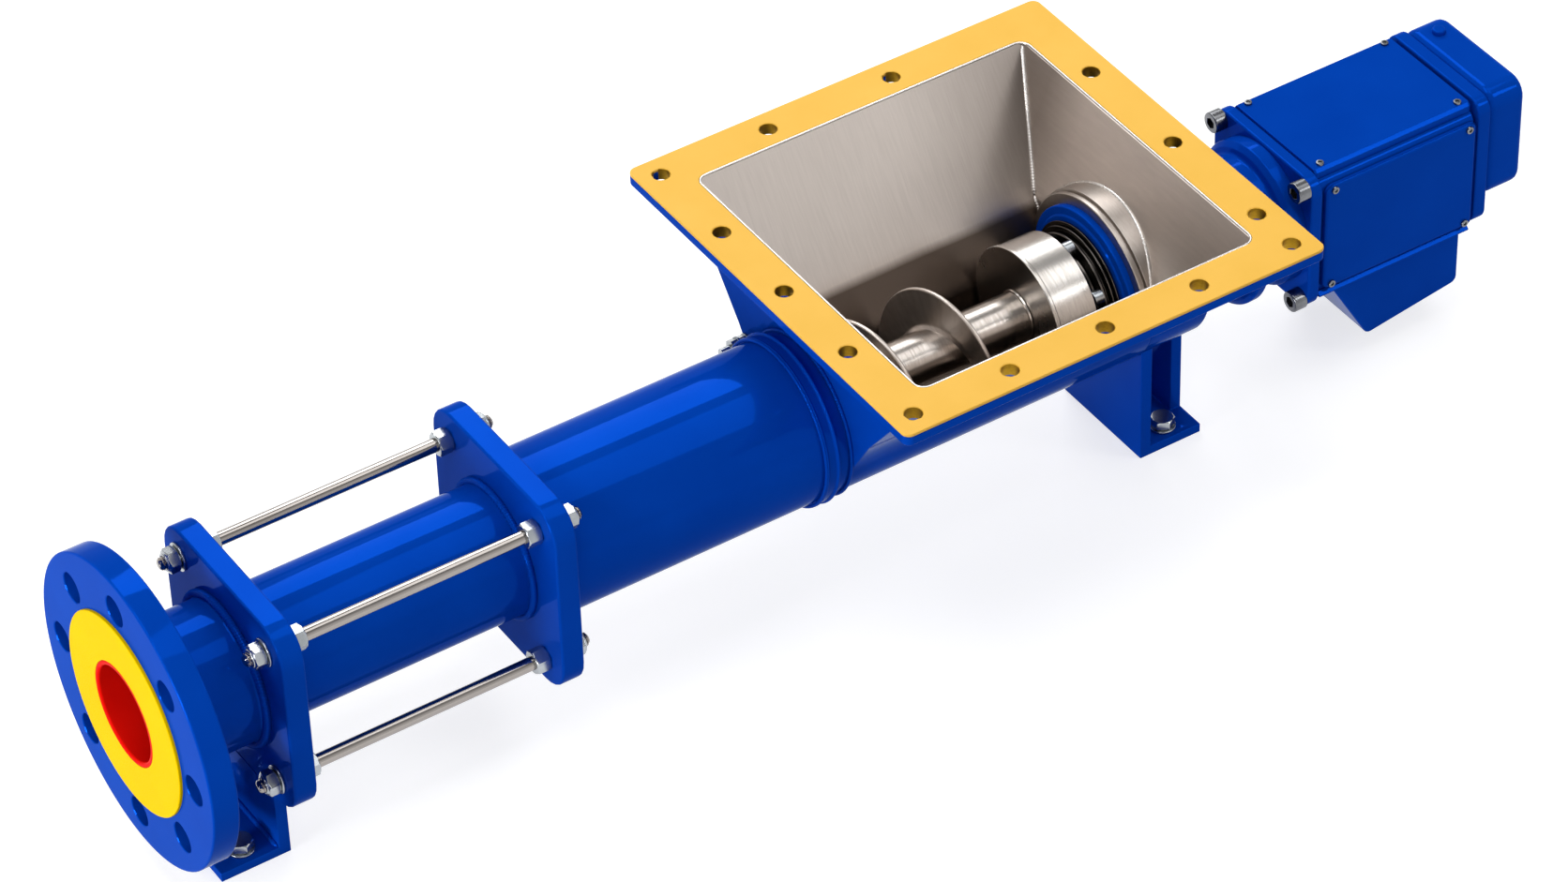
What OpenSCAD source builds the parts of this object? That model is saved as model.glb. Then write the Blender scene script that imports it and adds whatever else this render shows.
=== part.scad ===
// Hopper-fed progressive cavity pump with feed auger and flanged drive, mm
// X runs along the pump axis from the discharge face towards the motor, Z is up

/* [Discharge end] */
// Outside diameter of the discharge flange
flange_od = 185; // [175:1:220]
// Thickness of the discharge flange
flange_t = 16; // [10:1:24]
// Diameter of the circle of flange bolt holes
flange_bolt_circle = 145; // [140:1:155]
// Diameter of each flange bolt hole
flange_hole_d = 18; // [12:1:20]
// Number of flange bolt holes
flange_holes = 8; // [4:4:8]
// Outside diameter of the raised face ring
face_ring_od = 120; // [100:1:124]
// Thickness of the raised face ring
face_ring_t = 2; // [1:0.5:4]
// Clear bore through the lined discharge
bore_d = 56; // [54.5:0.5:58]
// Thickness of the lining where it shows at the face
lining_lip = 3; // [2:0.5:3.5]
// Thickness of the lining inside the neck
lining_t = 8; // [5:0.5:9]
// Outside diameter of the discharge neck
neck_od = 84; // [82:1:92]
// Length of the neck between flange and front plate
neck_length = 46; // [40:1:80]

/* [Stator section] */
// Side of the square clamping plates
clamp_side = 128; // [122:1:140]
// Corner radius of the clamping plates
clamp_corner = 20; // [8:1:24]
// Thickness of each clamping plate
clamp_t = 14; // [8:1:20]
// Clear length between the clamping plates
stator_span = 154; // [120:1:220]
// Outside diameter of the stator tube
stator_tube_od = 78; // [76:1:84]
// Wall of the stator tube
stator_tube_wall = 4; // [2:0.5:4.5]
// Radius of the round rotor section
rotor_radius = 15; // [13:0.5:15.5]
// Eccentricity of the rotor
eccentricity = 6; // [4:0.25:6]
// Pitch of the rotor helix
rotor_pitch = 56; // [45:1:90]
// Gap between rotor and rubber cavity
cavity_gap = 0.7; // [0.6:0.1:1]

/* [Tie rods] */
// Diameter of the tie rods
tie_rod_d = 8; // [6:0.5:10]
// Half the spacing of the tie rods both ways
tie_rod_half = 46; // [45:0.5:50]
// Width across flats of the tie rod nuts
nut_flats = 13; // [11:0.5:16]
// Height of the outer tie rod nuts
nut_height = 7; // [5:0.5:9]
// Height of the inner hexagon collars
collar_height = 9; // [5:0.5:12]
// Diameter of the tie rod washers
washer_d = 17; // [14:0.5:20]
// Thickness of the tie rod washers
washer_t = 1.6; // [1:0.2:3]

/* [Feed tube and hopper] */
// Length of the feed tube between rear plate and hopper
feed_length = 186; // [160:1:240]
// Inside radius of the hopper trough
trough_radius = 44; // [43.5:0.5:50]
// Thickness of the blue hopper shell and feed tube wall
shell_t = 3; // [2:0.25:5]
// Thickness of the stainless liner
liner_t = 1.5; // [1:0.25:3]
// Corner radius of the hopper opening
opening_corner = 6; // [4:1:12]
// Outer side of the square hopper rim
rim_side = 280; // [264:1:290]
// Width of the rim plate between the opening and its outer edge
rim_border = 29; // [25:1:36]
// Thickness of the hopper rim plate
rim_t = 6; // [4:0.5:10]
// Thickness of the rim gasket
gasket_t = 2; // [1:0.5:4]
// Height of the gasket top over the pump axis
rim_height = 92; // [80:1:130]
// Diameter of each rim bolt hole
rim_hole_d = 11; // [7:0.5:13]
// Distance of the rim bolt holes from the rim edge
rim_hole_inset = 14; // [9:0.5:15]
// Bolt holes along the front and the near side of the rim, corners included
rim_holes_side = 5; // [3:1:6]
// Place along the motor side of its first bolt hole, from the middle
rim_motor_hole_1 = -94; // [-98:0.5:-80]
// Place of its second bolt hole
rim_motor_hole_2 = -15; // [-60:0.5:20]
// Place of its third bolt hole
rim_motor_hole_3 = 64.5; // [40:0.5:98]
// Place along the far side of its first bolt hole, from the middle
rim_far_hole_1 = -54; // [-98:0.5:-20]
// Place of its second bolt hole
rim_far_hole_2 = 30; // [0:0.5:98]
// Half width of the hopper where its sides turn steep
fold_half = 62; // [58:1:70]
// Height of that turn over the pump axis
fold_height = 22; // [10:1:34]
// How far the end wall leans in over the turn
end_lean = 26; // [16:1:34]
// Height of the collar over the feed tube
feed_collar_step = 2.9; // [1.5:0.1:5]
// Width of the collar round the feed tube
feed_collar_w = 9; // [5:1:14]
// Distance of that collar from the hopper wall
feed_collar_gap = 9; // [4:1:14]
// Diameter of the earthing stud
stud_d = 6; // [5:0.5:7]
// Length of the earthing stud
stud_length = 18; // [14:1:30]

/* [Coupling rod and auger] */
// Diameter of the coupling rod
rod_d = 30; // [24:1:34]
// Distance of the rotor joint centre behind the rear plate
rotor_joint_gap = 30; // [26:1:40]
// Radius of the rotor joint ball
rotor_ball_radius = 10; // [8:0.5:10.5]
// Radius of the drive joint ball
drive_ball_radius = 13; // [10:0.5:14]
// Outside radius of the auger flights
auger_radius = 39; // [34:0.5:39]
// Pitch of the auger
auger_pitch = 50; // [40:1:70]
// Thickness of the auger flight
auger_t = 3; // [2:0.5:5]
// Bare length of rod between the last flight and the drum
auger_drum_gap = 36; // [10:1:60]
// Distance before the drum where the flight passes over the top
auger_top_gap = 53; // [40:1:90]
// Outside radius of the auger end drum
drum_radius = 42; // [38:0.5:42.5]
// Length of the auger end drum
drum_length = 28; // [24:1:30]
// Wall of the auger end drum
drum_wall = 3; // [2:0.5:4]

/* [Drive] */
// Diameter of the drive shaft
shaft_d = 28; // [22:1:32]
// Outside radius of the bolted drive joint flange
hub_radius = 42; // [38:0.5:42.5]
// Thickness of the bolted drive joint flange
hub_t = 7; // [5:0.5:9]
// Outside radius of the gland ring
gland_radius = 51; // [46:1:54]
// Thickness of the gland ring
gland_t = 5; // [3:0.5:8]
// Outside radius of the stainless seal ring
seal_ring_radius = 57; // [55:1:62]
// Thickness of the stainless seal ring
seal_ring_t = 5; // [3:0.5:8]
// Outside radius of the bearing housing
housing_radius = 48; // [46:0.5:52]
// Length of the bearing housing
housing_length = 43; // [40:1:60]
// Outside radius of each bearing
bearing_radius = 29; // [26:0.5:31]
// Width of each bearing
bearing_w = 13; // [9:1:14]
// Length of the lantern between housing and motor flange
lantern_length = 69; // [60:1:90]
// Length of the coupling sleeve between drive shaft and motor shaft
coupling_length = 34; // [28:1:44]
// Outside radius of the lantern neck
lantern_neck_radius = 34; // [32:1:38]
// Outside radius of the lantern flange
lantern_flange_radius = 47; // [42:0.5:50]
// Outside radius of the lantern boss on the motor flange
lantern_boss_radius = 45; // [41:0.5:47]

/* [Motor] */
// Side of the square motor flange
motor_flange_side = 94; // [90:1:104]
// Thickness of the motor flange
motor_flange_t = 8; // [6:0.5:12]
// Half the spacing of the motor flange screws
motor_screw_half = 40; // [39.5:0.5:42]
// Length of the motor body
motor_length = 115; // [100:1:160]
// Side of the square motor body
motor_side = 84; // [80:1:90]
// Edge radius of the motor body
motor_edge = 5; // [4:1:12]
// Thickness of the top cover
top_cover_t = 6; // [3:0.5:8]
// Thickness of the side cover
side_cover_t = 3; // [2:0.5:5]
// Width of the band between motor body and rear cap
band_w = 9; // [6:1:14]
// Length of the rear cap
cap_length = 27; // [20:1:40]
// Depth of the terminal box under the motor
terminal_depth = 52; // [40:1:60]
// Width of the terminal box
terminal_width = 74; // [50:1:78]

/* [Feet] */
// Height of the pump axis over the feet
axis_height = 110; // [100:1:160]
// Thickness of the foot plates
foot_t = 6; // [4:0.5:10]
// Width of both feet across the pump
foot_width = 76; // [70:1:100]
// Length of both feet along the pump
foot_length = 43; // [40:1:60]
// Half the spacing of the foot bolts across the pump
foot_bolt_half = 27; // [24:1:29]
// Diameter of the foot bolts
foot_bolt_d = 8; // [6:0.5:10]

/* [Hidden] */
$fn = 72;
fit = 0.1;
run_gap = 0.05;
ball_gap = 0.3;
blue = [0.02, 0.22, 0.66];
yellow = [0.99, 0.84, 0.05];
amber = [0.98, 0.79, 0.38];
red = [0.86, 0.06, 0.04];
steel = [0.72, 0.70, 0.68];
zinc = [0.76, 0.78, 0.80];
dark_steel = [0.30, 0.31, 0.33];
rubber = [0.07, 0.07, 0.08];

// Side of the square hopper opening
hopper_opening = rim_side - 2 * rim_border;

// Stations along the pump axis
flange_back = face_ring_t + flange_t;
front_plate_x = flange_back + neck_length;
front_plate_end = front_plate_x + clamp_t;
rear_plate_x = front_plate_end + stator_span;
rear_plate_end = rear_plate_x + clamp_t;
hopper_x = rear_plate_end + feed_length;
wall_stack = shell_t + fit + liner_t;
open_x0 = hopper_x + wall_stack;
open_x1 = open_x0 + hopper_opening;
hopper_mid = (open_x0 + open_x1) / 2;
end_x = open_x1 - end_lean;
seal_ring_x = end_x - seal_ring_t;
gland_x = seal_ring_x - gland_t;
hub_back = gland_x - 1;
hub_x = hub_back - hub_t;
drum_gap = 9;
drum_end = hub_x - drum_gap;
drum_x = drum_end - drum_length;
drive_joint_x = drum_end - 6;
rotor_joint_x = rear_plate_end + rotor_joint_gap;
housing_x = end_x + wall_stack;
housing_end = housing_x + housing_length;
lantern_end = housing_end + lantern_length;
shaft_meet_x = lantern_end - coupling_length / 2 - 3;
motor_x = lantern_end + motor_flange_t;
motor_end = motor_x + motor_length;
band_end = motor_end + band_w;
cap_end = band_end + cap_length;

// How far the end wall has leaned out at a height over the axis
function lean(z) = max(0, z - fold_height) * end_lean / (rim_z - fold_height);

// Radii and heights shared by neighbours
stator_r = stator_tube_od / 2 - stator_tube_wall;
feed_in = trough_radius + liner_t + fit;
feed_out = feed_in + shell_t;
feed_collar_r = feed_out + feed_collar_step;
rim_z = rim_height - gasket_t - rim_t;
rod_r = rod_d / 2;
shaft_r = shaft_d / 2;
nose_r = 36;
nose_lean = lean(nose_r) + wall_stack;
chamber_r = bearing_radius + fit;
tilt = atan(eccentricity / (drive_joint_x - rotor_joint_x));
rod_span = (drive_joint_x - rotor_joint_x) / cos(tilt);
half_body = motor_side / 2;
nut_r = nut_flats / 2 / cos(30);
cover_z = half_body + top_cover_t;
flank_y = 34;
flank_z = -22;
hub_bolts = 6;
hub_bolt_circle = hub_radius - 9;
hub_bolt_r = 4.6;
motor_bore_depth = 30;

// Points of the hopper section, moved outwards by o
function unit(v) = v / norm(v);
function side_normal(a, b) = [unit(a - b)[1], -unit(a - b)[0]];
function meet(a, b, c, d) =
    let (r = b - a, s = d - c, k = r[0] * s[1] - r[1] * s[0])
    a + r * (((c - a)[0] * s[1] - (c - a)[1] * s[0]) / k);
function slope_points(a, b, o) = [a + side_normal(a, b) * o, b + side_normal(a, b) * o];
top_pt = [hopper_opening / 2, rim_z];
fold_pt = [fold_half, fold_height];
flank_pt = [flank_y, flank_z];
function upper(o) = slope_points(top_pt, fold_pt, o);
function lower(o) = slope_points(fold_pt, flank_pt, o);
function top_at(o) = meet(upper(o)[0], upper(o)[1], [0, rim_z], [1, rim_z]);
function fold_at(o) = meet(upper(o)[0], upper(o)[1], lower(o)[0], lower(o)[1]);
end_top = [open_x1, rim_z];
end_fold = [end_x, fold_height];
function end_slope(o) = slope_points(end_top, end_fold, o);
function end_top_at(o) = meet(end_slope(o)[0], end_slope(o)[1], [0, rim_z], [1, rim_z]);
function end_fold_at(o) = meet(end_slope(o)[0], end_slope(o)[1], [end_x + o, 0], [end_x + o, 1]);

// Place of the earthing stud: near the edge of the front wall and clear of the feed collar
stud_washer_r = stud_d / 2 + 3;
stud_reach = feed_collar_r + stud_washer_r + 0.4;
stud_base = slope_points(fold_pt, flank_pt, wall_stack - stud_d / 2 - 0.4)[1];
stud_way = unit(fold_pt - flank_pt);
stud_along = -stud_base * stud_way
    + sqrt(pow(stud_base * stud_way, 2) - stud_base * stud_base + stud_reach * stud_reach);
stud_at = stud_base + stud_along * stud_way;

// Shared forms
module along_x(x = 0) {
    translate([x, 0, 0])
        rotate([0, 90, 0])
            children();
}

module ring_x(x, length, outer, inner) {
    along_x(x)
        difference() {
            cylinder(h = length, r = outer);
            translate([0, 0, -1])
                cylinder(h = length + 2, r = inner);
        }
}

// Revolves a profile of [x, radius] points about the pump axis
module turned(points) {
    along_x()
        rotate_extrude()
            polygon([for (p = points) [p[1], p[0]]]);
}

module rounded_square(w, h, r) {
    hull()
        for (a = [-1, 1], b = [-1, 1])
            translate([a * (w / 2 - r), b * (h / 2 - r)])
                circle(r);
}

// Block with rounded long edges along X, made of prisms and corner cylinders
module rounded_bar(x, length, w, h, r) {
    translate([x, -w / 2 + r, -h / 2])
        cube([length, w - 2 * r, h]);
    translate([x, -w / 2, -h / 2 + r])
        cube([length, w, h - 2 * r]);
    for (a = [-1, 1], b = [-1, 1])
        translate([x, a * (w / 2 - r), b * (h / 2 - r)])
            rotate([0, 90, 0])
                cylinder(h = length, r = r);
}

// Upright plate with rounded corners, flat on the XY plane
module rounded_slab(w, d, t, r) {
    translate([-w / 2 + r, -d / 2, 0])
        cube([w - 2 * r, d, t]);
    translate([-w / 2, -d / 2 + r, 0])
        cube([w, d - 2 * r, t]);
    for (a = [-1, 1], b = [-1, 1])
        translate([a * (w / 2 - r), b * (d / 2 - r), 0])
            cylinder(h = t, r = r);
}

module at_rods() {
    for (a = [-1, 1], b = [-1, 1])
        translate([0, a * tie_rod_half, b * tie_rod_half])
            children();
}

// Discharge end
module discharge_flange() {
    color(blue)
        difference() {
            ring_x(face_ring_t, flange_t, flange_od / 2, neck_od / 2 + fit);
            for (i = [0:flange_holes - 1])
                rotate([i * 360 / flange_holes, 0, 0])
                    translate([0, flange_bolt_circle / 2, 0])
                        along_x(face_ring_t - 1)
                            cylinder(h = flange_t + 2, d = flange_hole_d);
        }
}

module face_ring() {
    color(yellow)
        ring_x(0, face_ring_t, face_ring_od / 2, bore_d / 2 + lining_lip + fit);
}

module bore_lining() {
    b = bore_d / 2;
    color(red)
        turned([[0, b], [0, b + lining_lip], [face_ring_t, b + lining_lip],
            [face_ring_t, b + lining_t], [front_plate_x, b + lining_t], [front_plate_x, b]]);
}

module discharge_neck() {
    inner = bore_d / 2 + lining_t + fit;
    outer = neck_od / 2;
    color(blue)
        turned([[face_ring_t, inner], [face_ring_t, outer], [flange_back, outer],
            [flange_back, outer + 3], [flange_back + 3, outer],
            [front_plate_x - 4, outer], [front_plate_x, outer + 4], [front_plate_x, inner]]);
}

module clamp_plate(x, bore) {
    difference() {
        rounded_bar(x, clamp_t, clamp_side, clamp_side, clamp_corner);
        along_x(x - 1)
            cylinder(h = clamp_t + 2, r = bore);
        at_rods()
            along_x(x - 1)
                cylinder(h = clamp_t + 2, d = tie_rod_d + 0.4);
    }
}

module front_plate() {
    color(blue)
        clamp_plate(front_plate_x, stator_r + fit);
}

module rear_plate() {
    color(blue)
        clamp_plate(rear_plate_x, stator_r + fit);
}

// Stator section
module stator_tube() {
    r = stator_tube_od / 2;
    color(blue)
        turned([[front_plate_end, stator_r + fit], [front_plate_end, r + 3],
            [front_plate_end + 3, r], [rear_plate_x - 3, r], [rear_plate_x, r + 3],
            [rear_plate_x, stator_r + fit]]);
}

// The cavity is a slot of width 2 r and length 2 r + 4 e that turns once in two rotor pitches
module stator_rubber() {
    length = rear_plate_end - front_plate_x;
    color(rubber)
        along_x(front_plate_x)
            difference() {
                cylinder(h = length, r = stator_r);
                translate([0, 0, -0.5])
                    rotate([0, 0, -90 / rotor_pitch])
                        linear_extrude(height = length + 1, slices = 50, $fn = 12,
                                twist = -180 * (length + 1) / rotor_pitch)
                            slot_section();
            }
}

module slot_section() {
    r = rotor_radius + cavity_gap;
    hull()
        for (a = [-1, 1])
            translate([a * 2 * eccentricity, 0])
                circle(r, $fn = 24);
}

module tie_rods() {
    start = front_plate_x - washer_t - nut_height - 4;
    finish = rear_plate_end + washer_t + nut_height + 4;
    color(steel)
        at_rods()
            along_x(start)
                cylinder(h = finish - start, d = tie_rod_d);
}

module hex_nut(x, height) {
    along_x(x)
        difference() {
            cylinder(h = height, r = nut_r, $fn = 6);
            translate([0, 0, -1])
                cylinder(h = height + 2, d = tie_rod_d + 2 * fit);
        }
}

module lock_collar(x) {
    ring_x(x, 1.8, tie_rod_d / 2 + 1.6, tie_rod_d / 2 + fit);
}

module tie_rod_nuts() {
    color(zinc)
        at_rods() {
            union() {
                hex_nut(front_plate_x - washer_t - nut_height, nut_height);
                lock_collar(front_plate_x - washer_t - nut_height - 1.8);
            }
            union() {
                hex_nut(rear_plate_end + washer_t, nut_height);
                lock_collar(rear_plate_end + washer_t + nut_height);
            }
        }
}

module tie_rod_washers() {
    color(zinc)
        at_rods() {
            ring_x(front_plate_x - washer_t, washer_t, washer_d / 2, tie_rod_d / 2 + fit);
            ring_x(rear_plate_end, washer_t, washer_d / 2, tie_rod_d / 2 + fit);
        }
}

module tie_rod_collars() {
    color(steel)
        at_rods() {
            hex_nut(front_plate_end, collar_height);
            hex_nut(rear_plate_x - collar_height, collar_height);
        }
}

// Feet
module foot_holes(x) {
    for (a = [-1, 1])
        translate([x, a * foot_bolt_half, -axis_height - 1])
            cylinder(h = foot_t + 2, d = foot_bolt_d + 0.4);
}

front_foot_x = front_plate_x + clamp_t / 2 - foot_length;
front_bolt_x = front_foot_x + foot_length / 2 - 3;
rear_foot_x = housing_x + 0.3;
rear_bolt_x = rear_foot_x + foot_length / 2 + 2;

module front_foot() {
    wall_t = clamp_t / 2;
    color(blue)
        difference() {
            union() {
                translate([front_foot_x, -foot_width / 2, -axis_height])
                    cube([foot_length, foot_width, foot_t]);
                translate([front_plate_x, -foot_width / 2, -axis_height])
                    cube([wall_t, foot_width, axis_height - clamp_side / 2]);
            }
            foot_holes(front_bolt_x);
        }
}

module rear_foot() {
    wall_t = foot_t + 1.5;
    color(blue)
        difference() {
            union() {
                translate([rear_foot_x, -foot_width / 2, -axis_height])
                    cube([foot_length, foot_width, foot_t]);
                translate([rear_foot_x, -foot_width / 2, -axis_height])
                    cube([wall_t, foot_width, axis_height - housing_radius * 0.58]);
                translate([rear_foot_x + foot_length - wall_t, -foot_width * 0.24, -axis_height])
                    cube([wall_t, foot_width * 0.48, axis_height - housing_radius * 0.8]);
            }
            along_x(housing_x - 5)
                cylinder(h = housing_length + 20, r = housing_radius + fit);
            foot_holes(rear_bolt_x);
        }
}

module foot_bolts() {
    color(zinc)
        for (x = [front_bolt_x, rear_bolt_x], a = [-1, 1])
            translate([x, a * foot_bolt_half, -axis_height])
                union() {
                    cylinder(h = foot_t + 0.5, d = foot_bolt_d);
                    translate([0, 0, foot_t])
                        cylinder(h = 1.6, r = 8);
                    translate([0, 0, foot_t + 1.6])
                        cylinder(h = 6, r = 13 / 2 / cos(30), $fn = 6);
                }
}

// Feed tube and hopper
module feed_tube() {
    color(blue)
        turned([[rear_plate_end, feed_in], [rear_plate_end, feed_out + 3],
            [rear_plate_end + 3, feed_out], [hopper_x, feed_out], [hopper_x, feed_in]]);
}

module feed_collar() {
    finish = hopper_x - feed_collar_gap;
    start = finish - feed_collar_w;
    color(blue)
        turned([[start - 2, feed_out + fit], [start, feed_collar_r], [finish, feed_collar_r],
            [finish + 2, feed_out + fit]]);
}

// Space bounded by the hopper walls moved outwards by o, open at the top by rise
module hopper_space(o, rise = 0) {
    t = top_at(o);
    f = fold_at(o);
    g = lower(o)[1];
    e = end_top_at(o);
    h = end_fold_at(o);
    x0 = open_x0 - o;
    x1 = open_x1 + end_lean;
    deep = -trough_radius - o - 5;
    intersection() {
        union() {
            translate([x0, 0, 0])
                rotate([90, 0, 90])
                    linear_extrude(height = x1 - x0)
                        polygon([[t[0], rim_z + rise], t, f, g, [-g[0], g[1]],
                            [-f[0], f[1]], [-t[0], t[1]], [-t[0], rim_z + rise]]);
            along_x(x0)
                cylinder(h = x1 - x0, r = trough_radius + o);
        }
        rotate([90, 0, 0])
            linear_extrude(height = 2 * t[0] + 20, center = true)
                polygon([[x0, deep], [end_x + o, deep], h, e, [e[0], rim_z + rise],
                    [x0, rim_z + rise]]);
    }
}

// Hole for the housing nose through the end wall and its leaning part
module nose_hole() {
    along_x(end_x - 1)
        cylinder(h = wall_stack + 2 + nose_lean, r = nose_r + fit);
}

module hopper_shell() {
    color(blue)
        difference() {
            hopper_space(wall_stack);
            hopper_space(liner_t + fit, 1);
            along_x(hopper_x - 1)
                cylinder(h = shell_t + 2, r = feed_in);
            nose_hole();
        }
}

module opening_block(z, t, grow) {
    translate([hopper_mid, 0, z])
        rounded_slab(hopper_opening + 2 * grow, hopper_opening + 2 * grow, t,
            opening_corner + grow);
}

// Bolt holes from the middle of the rim: evenly along two sides, by their own places along the others
function rim_hole_spots(reach, n) = concat(
    [for (j = [0:n]) [-reach, -reach + j * 2 * reach / n]],
    [for (i = [1:n]) [-reach + i * 2 * reach / n, -reach]],
    [for (y = [rim_motor_hole_1, rim_motor_hole_2, rim_motor_hole_3]) [reach, y]],
    [for (x = [rim_far_hole_1, rim_far_hole_2]) [x, reach]]);

module rim_sheet(z, t) {
    difference() {
        translate([hopper_mid, 0, z])
            rounded_slab(rim_side, rim_side, t, 5);
        opening_block(z - 1, t + 2, liner_t + fit);
        for (spot = rim_hole_spots(rim_side / 2 - rim_hole_inset, rim_holes_side - 1))
            translate([hopper_mid + spot[0], spot[1], z - 1])
                cylinder(h = t + 2, d = rim_hole_d);
    }
}

module hopper_rim() {
    color(blue)
        rim_sheet(rim_z, rim_t);
}

module rim_gasket() {
    color(amber)
        rim_sheet(rim_z + rim_t, gasket_t);
}

module hopper_liner() {
    color(steel)
        difference() {
            union() {
                hopper_space(liner_t);
                opening_block(rim_z, rim_height - rim_z, liner_t);
            }
            hopper_space(0);
            opening_block(rim_z, rim_height - rim_z + 1, 0);
            along_x(open_x0 - liner_t - 1)
                cylinder(h = liner_t + 2, r = trough_radius);
            nose_hole();
        }
}

// Earthing stud welded to the hopper front wall
module earthing_stud() {
    color(zinc)
        translate([hopper_x, stud_at[0], stud_at[1]])
            rotate([0, -90, 0])
                cylinder(h = stud_length, d = stud_d);
}

module earthing_nuts() {
    af = (stud_d / 2 + 2) / cos(30);
    w = stud_washer_r;
    color(zinc)
        translate([hopper_x, stud_at[0], stud_at[1]])
            rotate([0, -90, 0])
                for (s = [[0, 1.2, w, 0], [1.2, 4.4, af, 1], [5.6, 1.2, w, 0], [6.8, 4.4, af, 1]])
                    translate([0, 0, s[0]])
                        difference() {
                            if (s[3] == 1)
                                cylinder(h = s[1], r = s[2], $fn = 6);
                            else
                                cylinder(h = s[1], r = s[2]);
                            translate([0, 0, -1])
                                cylinder(h = s[1] + 2, d = stud_d + 2 * fit);
                        }
}

// Shaft seal and bearing housing
module seal_ring() {
    color(steel)
        intersection() {
            difference() {
                union() {
                    ring_x(seal_ring_x, seal_ring_t, seal_ring_radius - 1, nose_r + fit);
                    ring_x(end_x - 2, 2 + lean(seal_ring_radius), seal_ring_radius, nose_r + fit);
                }
                along_x(seal_ring_x - 1)
                    cylinder(h = seal_ring_t + 2, r = nose_r + fit);
            }
            hopper_space(-fit);
        }
}

module gland_ring() {
    color(blue)
        intersection() {
            ring_x(gland_x, gland_t, gland_radius, shaft_r + 8);
            hopper_space(-0.3);
        }
}

module bearing_housing() {
    back = housing_end;
    color(blue)
        difference() {
            union() {
                ring_x(seal_ring_x, back - 8 - seal_ring_x, nose_r, chamber_r);
                difference() {
                    turned([[housing_x, chamber_r], [housing_x, housing_radius],
                        [back - 3, housing_radius], [back, housing_radius - 3],
                        [back, shaft_r + 2], [back - 6, shaft_r + 2], [back - 6, chamber_r]]);
                    hopper_space(wall_stack + fit);
                }
            }
            along_x(seal_ring_x - 1)
                cylinder(h = back - 6 - seal_ring_x + 1, r = chamber_r);
        }
}

module shaft_bearings() {
    color(dark_steel) {
        ring_x(housing_end - 6 - bearing_w, bearing_w, bearing_radius, shaft_r + run_gap);
        ring_x(housing_x + 2, bearing_w - 3, bearing_radius, shaft_r + run_gap);
    }
}

module seal_seat() {
    color(dark_steel)
        ring_x(seal_ring_x, 4, bearing_radius, shaft_r + 1);
}

module seal_runner() {
    color(steel)
        ring_x(seal_ring_x + 4.3, 3, bearing_radius - 5, shaft_r + fit);
}

module lantern() {
    s = housing_end;
    e = lantern_end;
    neck = lantern_neck_radius;
    color(blue)
        turned([[s, neck - 6], [s, neck + 4], [s + 3, neck + 4], [s + 7, neck], [s + 30, neck],
            [s + 33, lantern_flange_radius], [s + 41, lantern_flange_radius],
            [s + 43, neck + 4], [e - 11, neck + 4], [e - 11, lantern_boss_radius - 3],
            [e - 8, lantern_boss_radius], [e, lantern_boss_radius], [e, neck - 6]]);
}

// Motor
module at_motor_screws() {
    for (a = [-1, 1], b = [-1, 1])
        translate([0, a * motor_screw_half, b * motor_screw_half])
            children();
}

module motor_flange() {
    color(blue)
        difference() {
            rounded_bar(lantern_end, motor_flange_t, motor_flange_side, motor_flange_side, 10);
            along_x(lantern_end - 1)
                cylinder(h = motor_flange_t + 2, r = shaft_r + 6);
            at_motor_screws()
                along_x(lantern_end - 1)
                    cylinder(h = motor_flange_t + 2, d = 8.4);
        }
}

module motor_flange_screws() {
    color(zinc)
        at_motor_screws()
            union() {
                along_x(lantern_end - 8)
                    difference() {
                        cylinder(h = 8, r = 6.5);
                        translate([0, 0, -1])
                            cylinder(h = 4, r = 3.2, $fn = 6);
                    }
                along_x(lantern_end - 0.5)
                    cylinder(h = motor_flange_t + 0.5, d = 8);
            }
}

module motor_body() {
    color(blue)
        difference() {
            rounded_bar(motor_x, motor_length, motor_side, motor_side, motor_edge);
            along_x(motor_x - 1)
                cylinder(h = motor_bore_depth + 1, r = shaft_r - 2 + run_gap);
        }
}

module motor_top_cover() {
    color(blue)
        translate([(motor_x + motor_end) / 2, 0, half_body])
            rounded_slab(motor_length - 1, motor_side - 2 * motor_edge + 4, top_cover_t, 3);
}

module motor_side_cover() {
    color(blue)
        translate([(motor_x + motor_end) / 2 + 1, -half_body, 0])
            rotate([90, 0, 0])
                rounded_slab(motor_length - 6, motor_side - 2 * motor_edge + 2, side_cover_t, 3);
}

module cover_screws() {
    reach_x = motor_length / 2 - 7;
    reach_y = half_body - motor_edge;
    mid = (motor_x + motor_end) / 2;
    color(zinc) {
        for (a = [-1, 1], b = [-1, 1])
            translate([mid + a * reach_x, b * reach_y, cover_z])
                cylinder(h = 1.5, r = 2.6);
        for (a = [-1, 1], b = [-1, 1])
            translate([mid + 1 + a * (reach_x - 2), -half_body - side_cover_t, b * reach_y])
                rotate([90, 0, 0])
                    cylinder(h = 1.5, r = 2.6);
    }
}

module motor_band() {
    color(blue)
        translate([0, 0, top_cover_t / 2])
            rounded_bar(motor_end, band_w, motor_side + 3, motor_side + top_cover_t, motor_edge);
}

module rear_cap() {
    high = motor_side * 0.92;
    color(blue)
        translate([0, 0, cover_z - high / 2 + 1])
            hull() {
                rounded_bar(band_end, cap_length - 5, motor_side, high, 11);
                rounded_bar(band_end, cap_length, motor_side - 8, high - 8, 9);
            }
}

module vent_plug() {
    color(blue)
        translate([band_end + cap_length / 2, 24, cover_z + 1])
            cylinder(h = 3, r = 4);
}

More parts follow.
